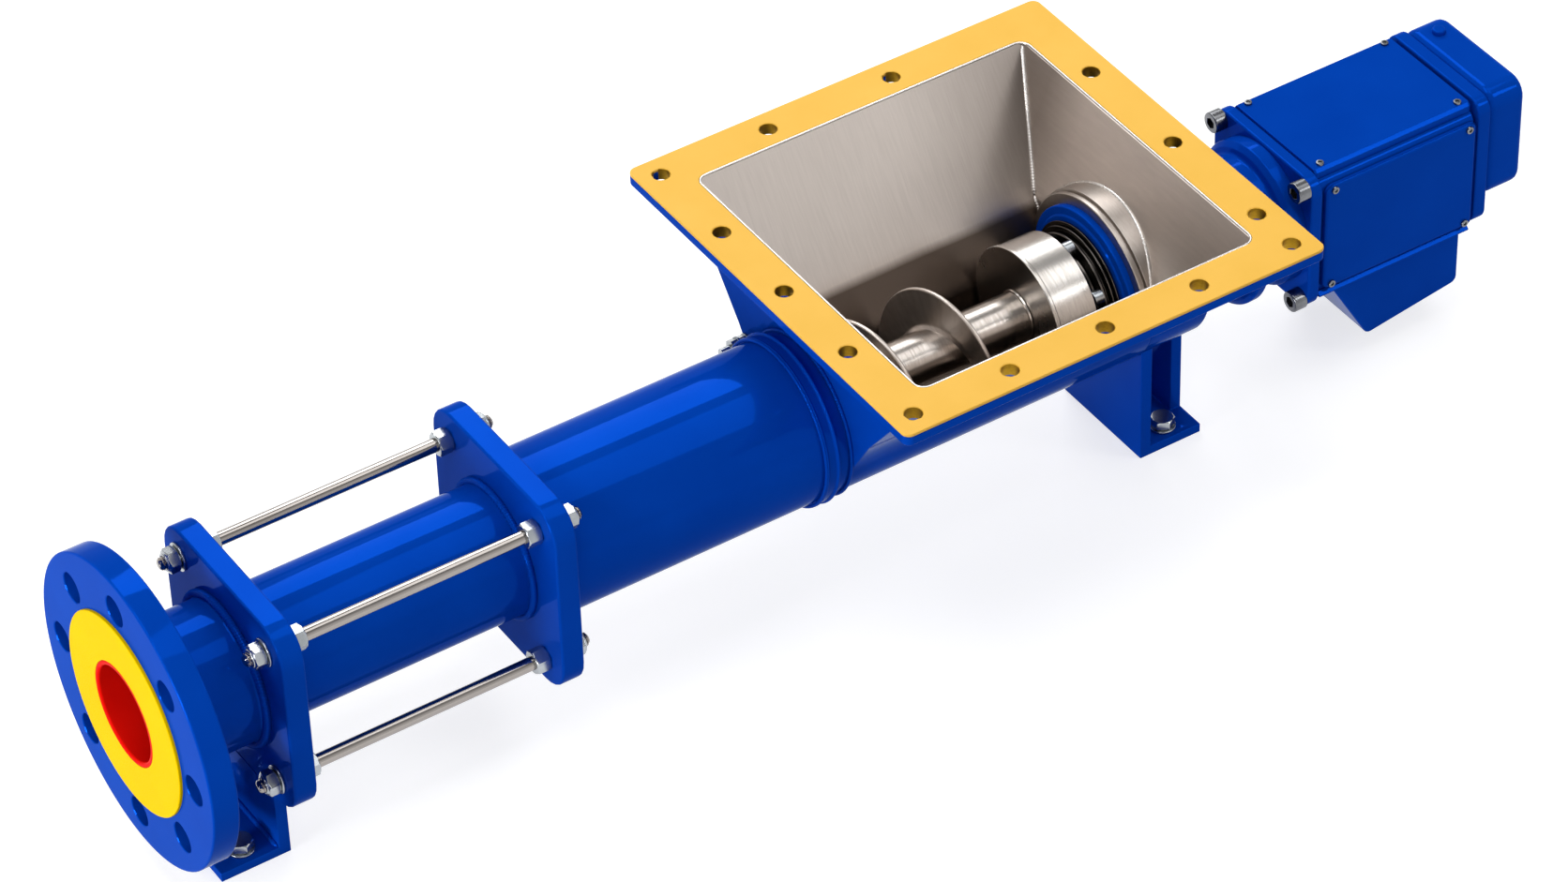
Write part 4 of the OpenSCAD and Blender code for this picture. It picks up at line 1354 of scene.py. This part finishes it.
@dataclass
class Hopper:
    """The hopper: blue shell and rim, amber gasket, stainless liner with its lip and welds."""

    middle: float = 547.6
    half: float = 140.0
    opening: float = 112.6
    opening_corner: float = 7.6
    corner: float = 5.0
    rim_z: float = 84.0
    rim_thick: float = 6.0
    gasket_thick: float = 2.0
    hole: float = 5.5
    hole_line: float = 126.0
    fold: tuple[float, float] = (62.0, 22.0)
    flank: tuple[float, float] = (34.0, -22.0)
    front_x: float = 436.6
    end_x: float = 632.6
    end_lean: float = 26.0
    trough: float = 44.0
    trough_from: float = -0.165
    liner: float = 1.5
    cord: float = 0.7
    seal_seam: float = 56.6
    shell_ends: tuple[float, float] = (432.2, 663.0)
    wall_holes: tuple[float, float] = (43.3, 44.0)

    def top(self) -> float:
        """Height of the gasket's face."""
        return self.rim_z + self.rim_thick + self.gasket_thick

    def loops(self, half: float, corner: float, grow: Array) -> Array:
        """Loops of a rounded square, with points at every cell's cuts.

        Args:
            half: Half the side.
            corner: Corner radius.
            grow: How far outwards each loop is moved.

        Returns:
            The loops, rows by points by two.
        """
        made = []
        for d in grow:
            quarters = [quarter_points(half + d, corner + d, side.cuts(half), -after.cuts(half)[0])[:-1]
                        for side, after in zip(RimSide, [*list(RimSide)[1:], RimSide.MOTOR])]
            made.append(np.concatenate([quarter_turn(q, i) for i, q in enumerate(quarters)]))
        return np.array(made)

    def spots(self) -> list[tuple[float, float]]:
        """Lists the bolt holes, side by side.

        Returns:
            Their centres, from the middle of the rim.
        """
        made = []
        for i, side in enumerate(RimSide):
            along = [*side.value.holes, *[self.hole_line] * side.value.corner_hole]
            made += [tuple(quarter_turn(np.array([[self.hole_line, v]]), i)[0]) for v in along]
        return made

    def sheet(self, z: float, thick: float, edge: float, name: str, finish: Finish, node: str) -> None:
        """A square frame sheet with its bolt holes.

        Args:
            z: Height of its underside.
            thick: Thickness.
            edge: Radius of its edges.
            name: The piece's name.
            finish: Its finish.
            node: The CAD node that it stands for.
        """
        (side, _), soft = edge_arc(), min(edge, 0.4)
        outer = self.loops(self.half, self.corner, -edge * side)
        wall = self.loops(self.opening, self.opening_corner, soft * side)
        cells, blanks, start = [], [], 0
        for i, row in enumerate(side.value for side in RimSide):
            places = [*row.holes, self.hole_line]
            for c, v in enumerate(places):
                corner = c == len(places) - 1
                span = np.arange((CORNER_POINTS if corner else CELL_POINTS) + 1)
                pick = (start + c * CELL_POINTS + span) % outer.shape[1]
                centre = tuple(quarter_turn(np.array([[self.hole_line, v]]), i)[0])
                cell = (cell_border(outer[0][pick], wall[0][pick], 3), centre)
                (blanks if corner and not row.corner_hole else cells).append(cell)
            start += len(row.holes) * CELL_POINTS + CORNER_POINTS
        grids = drilled(outer, wall, cells, self.hole, thick, edge, soft)
        for border, centre in blanks:
            middle = np.tile(centre, (len(border), 1))
            for level, rows in ((0.0, (border, middle)), (thick, (middle, border))):
                grids.append(np.stack([np.column_stack([p, np.full(len(p), level)]) for p in rows]))
        placed = [Facing.Z.place(g, (self.middle, 0, z)) for g in grids]
        Skin().add(*placed).piece(name, finish, nodes=[node])

    def sleeves(self) -> None:
        """Thin amber sleeves that line the bolt holes."""
        skin = Skin()
        low, high = self.rim_z + 0.3, self.top() - 0.35
        out, inn = self.hole - 0.05, self.hole - 0.4
        ring = swap(turned(rounded([(low, out), (high, out), (high, inn), (low, inn)], 0.1, 3), 40))
        for u, v in self.spots():
            skin.add(Facing.Z.place(ring, (self.middle + u, v, 0)), wrap_rows=True)
        skin.piece("hole_sleeves", Finish.BRASS)

    def lip(self) -> None:
        """The rolled top edge of the liner: a small round cord round the opening."""
        path = self.loops(self.opening, self.opening_corner, np.array([-0.6]))[0]
        after, before = np.roll(path, -1, 0), np.roll(path, 1, 0)
        way = (after - before) / np.linalg.norm(after - before, axis=1, keepdims=True)
        out = np.column_stack([way[:, 1], -way[:, 0]])
        q = np.linspace(0, TAU, 12, endpoint=False)
        x = path[:, None] + self.cord * np.cos(q)[None, :, None] * out[:, None]
        z = self.top() - self.cord + self.cord * np.sin(q) + 0 * path[:, :1]
        grid = np.concatenate([x, z[..., None]], -1) + [self.middle, 0, 0]
        Skin().add(grid, wrap_rows=True).piece("rolled_lip", Finish.LIP)

    def wall_x(self, z: Array | float) -> Array:
        """X of the end wall at a height: upright up to the fold and leaning out above it."""
        rise = np.maximum(0.0, np.asarray(z, float) - self.fold[1])
        return self.end_x + rise * self.end_lean / (self.top() - self.fold[1])

    def section(self, grow: float = 0.0) -> Array:
        """The hopper's inside across the pump: straight to the fold, steeper to the trough, then a half pipe.

        Args:
            grow: How far outwards the section is moved, along its own normal.

        Returns:
            Rows of y and z from one lip over the bottom to the other.
        """
        top = np.array([self.opening - 1.6, self.top() - 0.8])
        bend = self.trough * np.array([math.cos(self.trough_from), math.sin(self.trough_from)])
        fold, soft = np.array(self.fold), 4.0
        up, down = top - fold, bend - fold
        a, b = fold + up * soft / np.linalg.norm(up), fold + down * soft / np.linalg.norm(down)
        k = np.linspace(0, 1, 9)[:, None]
        corner = (1 - k) ** 2 * a + 2 * k * (1 - k) * fold + k * k * b
        t = np.linspace(self.trough_from, -math.pi / 2, 30)[:, None]
        pipe = self.trough * np.concatenate([np.cos(t), np.sin(t)], 1)
        wall = top + (a - top) * np.linspace(0, 1, 12)[:-1, None]
        half = np.concatenate([wall, corner, b + (bend - b) * np.linspace(0, 1, 6)[1:-1, None], pipe])
        path = np.concatenate([half[:-1], half[::-1] * [-1, 1]])
        way = np.gradient(path, axis=0)
        way = way / np.linalg.norm(way, axis=1, keepdims=True)
        return path + grow * np.column_stack([-way[:, 1], way[:, 0]])

    def sheet_metal(self) -> None:
        """The liner: the section swept between both end walls, and the end walls with their round openings.

        A wall's points lie between the section and a circle about the pump axis at the same angle.
        """
        near, far = self.section(), self.section(self.liner)
        outline, middle = np.concatenate([near, far[::-1]]), (near + far) / 2
        core = np.concatenate([middle, middle[::-1]])
        ends = self.front_x, self.wall_x(outline[:, 1])
        rows = [np.column_stack([ends[0] + v * (ends[1] - ends[0]), outline]) for v in np.linspace(0, 1, 24)]
        tips = (np.column_stack([np.full(len(core), self.front_x), core]),
                np.column_stack([self.wall_x(core[:, 1]), core]))
        skin = Skin().add(np.stack([tips[0], *rows, tips[1]]))
        lid = np.column_stack([np.linspace(near[-1, 0], near[0, 0], 40)[1:-1], np.full(38, near[0, 1])])
        border = np.concatenate([near, lid])
        turn = np.arctan2(border[:, 1], border[:, 0])
        for hole, leaning in zip(self.wall_holes, (False, True)):
            inner = border * (1 - 0.1 * leaning / np.linalg.norm(border, axis=1, keepdims=True))
            ring = hole * np.column_stack([np.cos(turn), np.sin(turn)])
            ring = ring * np.minimum(1.0, np.linalg.norm(inner, axis=1) / hole)[:, None]
            flat = [ring + (inner - ring) * v for v in np.linspace(0, 1, 14)]
            place = [self.wall_x(f[:, 1]) if leaning else np.full(len(f), self.front_x) for f in flat]
            thick = self.liner if leaning else -self.liner
            face = [np.column_stack([p, f]) for p, f in zip(place, flat)]
            back = [np.column_stack([p + thick, f]) for p, f in zip(place, flat)]
            skin.add(np.stack([*face, *back[::-1]]), wrap_rows=True)
        skin.piece("satin_liner", Finish.LINER, nodes=["hopper_liner"], smooth=24)

    def within(self, turn: Array, radius: float, spare: float = 0.35) -> Array:
        """Keeps a circle about the pump axis inside the hopper's section.

        Args:
            turn: Angles about the axis.
            radius: The circle's radius.
            spare: Distance that is left to the section.

        Returns:
            The radius at each angle.
        """
        path = self.section()
        angle = np.unwrap(np.arctan2(path[:, 1], path[:, 0]))
        reach = np.linalg.norm(path, axis=1)
        seen = (turn - angle[-1]) % TAU + angle[-1]
        inside = np.interp(seen, angle[::-1], reach[::-1])
        over = seen > angle[0]
        return np.minimum(radius, np.where(over, radius, inside - spare))

    def clipped(self, outline: Array) -> Skin:
        """A ring about the pump axis that the hopper's section clips.

        Args:
            outline: Rows of depth behind the seal ring's face, and radius; past 8 it meets the end wall.

        Returns:
            The ring.
        """
        t = np.linspace(0, TAU, 180, endpoint=False)
        rows = []
        for depth, radius in outline:
            r = self.within(t, radius)
            y, z = r * np.cos(t), r * np.sin(t)
            x = self.wall_x(z) + 0.6 if depth > 8 else np.full_like(t, self.end_x - 5.0 + depth)
            rows.append(np.stack([x, y, z], -1))
        return Skin().add(np.stack(rows), wrap_rows=True)

    def seal_rings(self) -> None:
        """The stepped stainless ring on the end wall and the blue gland ring inside it."""
        ring = self.clipped(rounded([(0, 36.2), (0, 55.8), (2.8, 55.8), (3.2, 54.4), (4.0, 54.4), (4.5, 56.9),
                                     (9, 56.9), (9, 36.2)], [0.3, 0.8, 0.4, 0.3, 0.3, 0.4, 0.1, 0.1], 4))
        ring.piece("stepped_ring", Finish.RING, nodes=["seal_ring"], smooth=30)
        gland = self.clipped(rounded([(-5, 22.1), (-5, 43.6), (-4, 44.6), (-4, 49.4), (0, 49.4), (0, 22.1)],
                                     [0.2, 0.5, 0.3, 0.9, 0.1, 0.1], 5))
        gland.piece("gland_collar", Finish.BLUE, nodes=["gland_ring"], smooth=30)

    def welds(self) -> None:
        """Weld beads inside the hopper: up its corners, along its folds and round the seal ring."""
        (fy, fz), (gy, gz), top = self.fold, self.flank, self.opening - 2.0
        high, front, end = self.rim_z + self.rim_thick, self.front_x, self.end_x
        lean = float(self.wall_x(high))
        inside, outside = Skin(), Skin()
        for s in (-1, 1):
            inside.add(line_bead((end, s * fy, fz), (lean, s * top, high), (-1, -s, 0.4), 1.5))
            inside.add(line_bead((end, s * gy, gz), (end, s * fy, fz), (-1, -s, 0.4), 1.3))
            inside.add(line_bead((front, s * fy, fz), (front, s * top, high), (1, -s, 0.4), 1.3))
            inside.add(line_bead((front, s * gy, gz), (front, s * fy, fz), (1, -s, 0.4), 1.2))
        t = np.radians(np.linspace(16, 164, 220))
        z = self.seal_seam * np.sin(t)
        path = np.stack([self.wall_x(z) - 0.3, self.seal_seam * np.cos(t), z], -1)
        out = np.stack([0 * t, np.cos(t), np.sin(t)], -1)
        inside.add(bead(path, np.broadcast_to([1.0, 0, 0], out.shape), out, 1.2, closed=False))
        inside.piece("hopper_seams", Finish.SEAM)
        (start, last), shell, under = self.shell_ends, self.opening + 3.4, self.rim_z - 0.6
        for s in (-1, 1):
            y = s * shell
            outside.add(line_bead((start + 0.2, y, under), (last, y, under), (0, s, -1), 2.0, 2.4))
        outside.add(line_bead((start, -shell, under), (start, shell, under), (-1, 0, -1), 2.0, 2.4))
        outside.piece("rim_welds", Finish.BLUE)

    def build(self) -> None:
        """Builds every piece of the hopper."""
        face = self.rim_z + self.rim_thick
        self.sheet(self.rim_z, self.rim_thick, 0.8, "rim_plate", Finish.BLUE, "hopper_rim")
        self.sheet(face, self.gasket_thick, 0.5, "gasket_sheet", Finish.AMBER, "rim_gasket")
        softened("hopper_shell", Finish.BLUE, 1.2)
        self.sheet_metal()
        self.seal_rings()
        self.lip()
        self.sleeves()
        self.welds()
        dress(Finish.ZINC, "earthing_stud", "earthing_nuts")


@dataclass
class ScrewTrain:
    """The coupling rod with its auger flight and drum, the rotor and the joint sleeve between them."""

    rotor_joint: float = 276.0
    drive_joint: float = 599.6
    throw: float = 6.0
    rod: float = 15.0
    flight: float = 39.0
    flight_thick: float = 3.0
    pitch: float = 50.0
    flight_span: tuple[float, float] = (32.0, 265.6)
    over_top: float = 216.6
    drum_x: float = 301.6
    drum_long: float = 28.0
    drum: float = 42.0
    balls: tuple[float, float] = (10.0, 13.0)
    rotor_span: tuple[float, float] = (70.0, 242.0)
    rotor_round: float = 15.0
    helix_from: float = 64.0
    helix_pitch: float = 56.0

    def tilted(self, grid: Array) -> Array:
        """Moves a shape drawn along the rod onto the line between both joints.

        Args:
            grid: The shape, with its x measured from the rotor joint.

        Returns:
            The shape in the pump's frame.
        """
        apart = self.drive_joint - self.rotor_joint
        tilt = math.atan2(self.throw, apart)
        span = apart / math.cos(tilt)
        c, s = math.cos(tilt), math.sin(tilt)
        turn = np.array([[c, 0, -s], [0, 1, 0], [s, 0, c]])
        return (grid - [span, 0, 0]) @ turn + [self.drive_joint, 0, 0]

    def auger(self) -> None:
        """The flight: a section of a flat blade with a rounded rim and a flared root, swept on a helix.

        At the angle A the blade's middle stands A pitch / 2 pi less half its thickness past its start.
        """
        t, r0, r1 = self.flight_thick / 2, self.rod - 0.4, self.flight
        a, b = self.flight_span
        section = rounded([(-t - 2.2, r0), (-t, r0 + 2.6), (-t, r1), (t, r1), (t, r0 + 2.6), (t + 2.2, r0)],
                          [0.1, 2.5, 1.1, 1.1, 2.5, 0.1], 4)
        start = math.pi + TAU * self.over_top / self.pitch
        first = TAU * 2 * t / self.pitch
        angle = np.linspace(first, TAU * (b - a) / self.pitch, 420)
        x = a + angle[:, None] * self.pitch / TAU - t + section[:, 0]
        turn = angle[:, None] - start
        r = section[:, 1]
        grid = np.stack([x, r * np.sin(turn), -r * np.cos(turn)], -1)
        Skin().add(self.tilted(capped(grid))).piece("auger_flight", Finish.TURNED, Body.ROD, ["feed_auger"])

    def shaft(self) -> None:
        """The coupling rod with its balls, neck and weld rings."""
        k, (small, large) = np.linspace(0, math.pi, 15), self.balls
        ball = np.column_stack([-small * np.cos(k), small * np.sin(k)])[:-3]
        span = math.hypot(self.drive_joint - self.rotor_joint, self.throw)
        end = np.column_stack([span - large * np.cos(k), large * np.sin(k)])[3:]
        r, f = self.rod, self.drum_x
        body = [(14, 6.5), (17.5, r - 2), (20, r), (f - 1.6, r), (f - 1.3, r + 0.9), (f - 0.4, r + 1.2),
                (f + 0.2, r + 0.3), (f + 2, r), (f + 2.6, r - 0.6), (f + 3, 6.5)]
        profile = np.concatenate([ball, body, end])
        profile[0, 1] = profile[-1, 1] = 0.0
        Skin().add(self.tilted(turned(profile, 96))).piece(
            "rod_with_balls", Finish.SHAFT, Body.ROD, ["coupling_rod"], smooth=28)

    def end_drum(self) -> None:
        """The drum: a disc with a proud rim, and a thin-walled shell behind it."""
        s, e, r = self.drum_x, self.drum_x + self.drum_long, self.drum
        grid = turned(rounded([(s, self.rod + 0.1), (s, r), (s + 2.6, r), (s + 3.0, r - 0.7), (e, r - 0.7),
                               (e, r - 3), (s + 3, r - 3), (s + 3, self.rod + 0.1)],
                              [0.1, 0.7, 0.5, 0.3, 0.6, 0.4, 0.4, 0.1]), 144)
        Skin().add(self.tilted(grid), wrap_rows=True).piece("end_drum", Finish.DRUM, Body.ROD, ["auger_drum"])

    def rotor(self) -> None:
        """The rotor and its cup: a circle whose centre runs on a helix of the throw's radius."""
        (start, end), r, e = self.rotor_span, self.rotor_round, self.throw
        x = np.linspace(start, end, 220)[:, None]
        t = np.linspace(0, TAU, 48, endpoint=False)
        turn = (x - self.helix_from) / self.helix_pitch * TAU
        y, z = r * np.sin(t) - e * np.sin(turn), e - r * np.cos(t) + e * np.cos(turn)
        grid = np.stack([x + 0 * t, y, z], -1)
        j, cup, socket = self.rotor_joint, 13.7, self.balls[0] + 0.3
        k = np.linspace(math.pi, math.pi * 0.28, 10)
        well = np.column_stack([j + socket * np.cos(k), socket * np.sin(k)])
        head = rounded([(end - 3, 0.0), (end - 3, 8.5), (j - 13.3, 8.5), (j - 12.3, cup), (j + 6, cup),
                        (j + 6, 9.3)], [0.1, 0.4, 0.8, 0.8, 0.6, 0.3])
        shank = turned(np.concatenate([[(end - 3, 0.0)], head[3:], well[::-1]]), 64, (0, self.throw))
        Skin().add(capped(grid)).add(shank).piece("helix_rotor", Finish.SHAFT, Body.ROTOR, ["rotor"])

    def build(self) -> None:
        """Builds every piece of the train."""
        self.shaft()
        self.auger()
        self.end_drum()
        self.rotor()
        dress(Finish.RUBBER, "rotor_joint_sleeve")


@dataclass
class DriveEnd:
    """The bolted hub, gland, housing and the round lantern that carries the motor."""

    joint_x: float = 599.6
    hub_x: float = 614.6
    hub_back: float = 621.6
    bolt_circle: float = 33.0
    bolts: int = 6
    housing_end: float = 680.2
    lantern_end: float = 749.2
    lantern_bore: float = 28.0
    neck: float = 34.0

    def hub_piece(self) -> None:
        """The dark hub: a ribbed barrel behind the drum and a two-lipped flange in front of the gland."""
        x, back, joint = self.hub_x, self.hub_back, self.joint_x
        ball, mouth = 13.3, 11.31
        foot = [(back - 1.9, 14.1), (back - 1.9, 0.0)]
        body = rounded([(joint - mouth, 7.0), (joint - mouth, 19.3), (606.6, 19.3), (607.6, 26.0),
                        (609.6, 28.0), (611.6, 26.0), (613.4, 28.0), (x, 28.5), (x, 36.5), (x + 2.2, 36.5),
                        (x + 2.6, 34.6), (x + 3.4, 34.6), (x + 3.6, 39.4), (x + 4.9, 39.4), (x + 5.2, 37.8),
                        (x + 5.5, 37.8), (x + 5.7, 41.6), (back, 41.6), (back, 14.1), *foot],
                       [0.2, 0.6, 0.6, 0.8, 1.4, 0.8, 0.8, 0.4, 1.1, 1.1, 0.3, 0.3, 0.6, 0.6, 0.15, 0.15,
                        0.4, 0.4, 0.2, 0.1, 0.1])[:-3]
        k = np.linspace(0, math.pi - math.acos(mouth / ball), 10)
        well = np.column_stack([joint + ball * np.cos(k), ball * np.sin(k)])
        hub = Skin().add(turned(np.concatenate([well, body, foot]), 128))
        hub.piece("ribbed_hub", Finish.DARK, Body.DRIVE, ["drive_hub"], smooth=30)

    def build(self) -> None:
        """Builds every piece of the drive end."""
        self.hub_piece()
        screws = Skin()
        for i in range(self.bolts):
            t = TAU * i / self.bolts
            y, z = -self.bolt_circle * math.sin(t), self.bolt_circle * math.cos(t)
            screws.add(Facing.X.place(swap(socket_head(4.6, 6.0, 5.2)), (self.hub_x - 6.0, y, z)))
        screws.piece("hub_cap_screws", Finish.ZINC, Body.DRIVE, ["hub_screws"])
        dress(Finish.BEARING, "shaft_bearings", "seal_runner")
        dress(Finish.DARK, "seal_seat", "shaft_coupling")
        dress(Finish.ROD, "drive_shaft")
        softened("bearing_housing", Finish.BLUE, 1.0)
        s, e, n, bore = self.housing_end, self.lantern_end, self.neck, self.lantern_bore
        lantern = Skin().turned([(s, bore), (s, n + 4), (s + 4, n + 4), (s + 8, n), (s + 29, n), (s + 33, 44),
                                 (s + 35, 47), (s + 40, 47), (s + 42.5, 44), (s + 43, n + 4), (e - 12, n + 4),
                                 (e - 11, 42), (e - 8, 45), (e, 45), (e, bore)],
                                [0.1, 1, 2, 3, 4, 2, 1, 1, 2, 2.5, 2, 1.5, 1.5, 0.3, 0.1], 128)
        lantern.piece("lantern_casting", Finish.BLUE, nodes=["lantern"], smooth=30)
        Skin().ring_welds((s + 0.6, n + 3.6, 1.3)).piece("lantern_weld", Finish.BLUE)


@dataclass
class Motor:
    """The square motor: flange, body, covers, band, rear cap and terminal box, with its screws."""

    flange_x: float = 749.2
    body_x: float = 757.2
    body_end: float = 872.2
    side: float = 84.0
    band_end: float = 881.2
    cap_end: float = 908.2
    top: float = 48.0
    screw_half: float = 40.0
    panel_thick: float = 3.0
    box_half: float = 37.0
    box_edge: float = 1.6

    def box(self, x: float, long: float, wide: float, high: float, corner: float, edge: float,
            z: float = 0.0) -> Array:
        """A rounded block along X.

        Args:
            x: Its front face.
            long: Length.
            wide: Width across.
            high: Height.
            corner: Radius of its long edges.
            edge: Radius round its end faces.
            z: Height of its middle.

        Returns:
            The grid.
        """
        return Facing.X.place(pillow(wide, high, corner, long, edge), (x, 0, z))

    def shell(self) -> None:
        """Flange, body, band and cap."""
        side, long, high = self.side, self.body_end - self.body_x, self.side * 0.92
        plate = Skin().add(self.box(self.flange_x, 8, 94, 94, 11, 1.4))
        plate.piece("motor_plate", Finish.BLUE, nodes=["motor_flange"])
        case = Skin().add(self.box(self.body_x, long - 2.6, side, side, 6, 0.8))
        case.add(self.box(self.body_end - 3.2, 3.2, side - 6, side - 6, 6, 0.3))
        case.piece("motor_case", Finish.BLUE, nodes=["motor_body"])
        band = Skin().add(self.box(self.body_end, 9, side + 3, side + 6, 9, 1.2, 3))
        band.piece("motor_ring", Finish.BLUE, nodes=["motor_band"])
        cap = Skin().add(self.box(self.band_end, self.cap_end - self.band_end, side, high, 12, 5,
                                  self.top - high / 2 + 1))
        cap.piece("motor_cap", Finish.BLUE, nodes=["rear_cap"])

    def covers(self) -> None:
        """The lid on top and the panel on the near side, each with softly rounded edges."""
        mid = (self.body_x + self.body_end) / 2
        long = self.body_end - self.body_x
        half, low, high = self.side / 2 - 3, self.side / 2, self.top
        outline = rounded([(-half, low), (half, low), (half, high - 2.0), (half - 2.0, high),
                           (2.0 - half, high), (-half, high - 2.0)], [0.2, 0.2, 0.6, 0.6, 0.6, 0.6], 4)
        x = mid - 1.4 + np.array([-0.5, -0.5, -0.488, 0.488, 0.5, 0.5]) * (long - 3.2)
        lid = Skin().add(prism(outline, (0.0, 0.985, 1.0, 1.0, 0.985, 0.0), x))
        lid.piece("motor_lid", Finish.BLUE, nodes=["motor_top_cover"], smooth=20)
        panel = pillow(long - 6, self.side - 8, 5, self.panel_thick, 2.4)
        Skin().add(Facing.MINUS_Y.place(panel, (mid + 1, -self.side / 2, 0))).piece(
            "motor_panel", Finish.BLUE, nodes=["motor_side_cover"])

    def rail(self) -> None:
        """The narrow ledge along the body under the near panel, whose sloping top catches the light."""
        inner, outer, low = -40.5, -44.9, -41.8
        outline = rounded([(inner, low), (inner, -38.9), (-42.4, -38.9), (outer, -41.0), (outer, low)],
                          0.3, 3)
        x = np.array([0.0, 0.0, 0.4, 108.6, 109.0, 109.0]) + self.body_x + 2.0
        ledge = Skin().add(prism(outline, (0.0, 0.92, 1.0, 1.0, 0.92, 0.0), x))
        ledge.piece("body_ledge", Finish.BLUE, smooth=30)

    def terminal_box(self) -> None:
        """The terminal box: a sloping prism whose long edges are rounded."""
        x, e, roof = self.body_x, self.body_end, -41.5
        outline = rounded([(x + 14, roof), (x + 45, -95.0), (x + 52, -94.0), (e - 4, -85.0), (e - 4, roof)],
                          [0.5, 4.0, 4.0, 4.0, 0.5], 6)
        middle = outline.mean(0)
        (side, face), edge, half = edge_arc(), self.box_edge, self.box_half
        way = outline - middle
        reach = np.linalg.norm(way, axis=1, keepdims=True)
        tip = np.tile(middle, (len(outline), 1))
        rows = [tip, *(middle + way * (1 - edge * v / reach) for v in (*side, *face)), tip]
        level = np.concatenate([[-half], -half + edge * face, half - edge * side, [half]])
        grid = np.stack([np.insert(r, 1, y, 1) for r, y in zip(rows, level)])
        Skin().add(grid).piece("terminal_housing", Finish.BLUE, nodes=["terminal_box"])

    def screws(self) -> None:
        """Cap screws of the flange, and the small domed screws of the covers."""
        heads, small, tall = Skin(), Skin(), 1.4
        mid, reach = (self.body_x + self.body_end) / 2, (self.body_end - self.body_x) / 2 - 7
        panel = -self.side / 2 - self.panel_thick
        head, dome = swap(socket_head(6.5, 8.0, 6.2)), flip(swap(socket_head(2.3, tall, 2.2, 36)), tall)
        for a, b in ((-1, -1), (-1, 1), (1, -1), (1, 1)):
            heads.add(Facing.X.place(head, (self.flange_x - 8, a * self.screw_half, b * self.screw_half)))
            small.add(Facing.Z.place(dome, (mid - 1.4 + a * (reach - 1), b * 34.4, self.top)))
            small.add(Facing.MINUS_Y.place(dome, (mid + 1 + a * (reach - 2), panel, b * 37 * 0.93)))
        heads.piece("flange_cap_screws", Finish.SOCKET, nodes=["motor_flange_screws"])
        small.piece("cover_dome_screws", Finish.SOCKET, nodes=["cover_screws"])

    def build(self) -> None:
        """Builds every piece of the motor."""
        self.shell()
        self.covers()
        self.rail()
        self.terminal_box()
        self.screws()
        plug = turned(rounded([(0, 0.01), (0, 4), (3, 4), (3, 0.01)], [0.01, 0.3, 1.1, 0.01]), 40)
        at = ((self.band_end + self.cap_end) / 2, 24, self.top + 1)
        Skin().add(Facing.Z.place(swap(plug), at), wrap_rows=True).piece(
            "vent_button", Finish.BLUE, nodes=["vent_plug"])


@dataclass
class Feet:
    """The two foot brackets with their bolts."""

    bolts: tuple[tuple[float, float], ...] = ((46.5, -27), (46.5, 27), (661.0, -27), (661.0, 27))
    roots: tuple[tuple[float, int], ...] = ((64.0, -1), (645.0, 1))
    base_z: float = -110.0
    plate: float = 6.0
    bolt: float = 4.0
    flats: float = 13.0
    head_tall: float = 6.0
    washer: tuple[float, float] = (8.0, 1.6)
    weld_half: float = 37.0

    def build(self) -> None:
        """Builds the brackets, the bolts with washers and the welds at their roots."""
        softened("front_foot", Finish.BLUE, 0.9)
        softened("rear_foot", Finish.BLUE, 0.9)
        bolts, welds = Skin(), Skin()
        top, long, r = self.base_z + self.plate, self.plate + 1, self.bolt
        wide, thick = self.washer
        washer = swap(turned(rounded([(0, r + 0.1), (0, wide), (thick, wide), (thick, r + 0.1)], 0.4), 40))
        head = swap(nut(self.flats, 0.02, self.head_tall))
        shank = swap(turned(np.array([(0, 0), (0, r - 0.4), (0.4, r), (long, r), (long, 0)]), 32))
        for x, y in self.bolts:
            bolts.add(Facing.Z.place(washer, (x, y, top)), wrap_rows=True)
            bolts.add(Facing.Z.place(head, (x, y, top + thick)), wrap_rows=True)
            bolts.add(Facing.Z.place(shank, (x, y, self.base_z)))
        bolts.piece("foot_bolt_set", Finish.ZINC, nodes=["foot_bolts"])
        for root, s in self.roots:
            x, z, half = root + s * 0.6, top + 0.4, self.weld_half
            welds.add(line_bead((x, -half, z), (x, half, z), (s, 0, 1), 1.7, 2.4))
        welds.piece("foot_welds", Finish.BLUE)


def main() -> None:
    """Builds the studio and every sub-assembly in order."""
    logging.basicConfig(level=logging.INFO, format="%(message)s")
    Studio().build()
    for kind in (DischargeEnd, StatorSection, FeedTube, Hopper, ScrewTrain, DriveEnd, Motor, Feet):
        LOG.info("building %s", kind.__name__)
        kind().build()


if __name__ == "__main__":
    main()
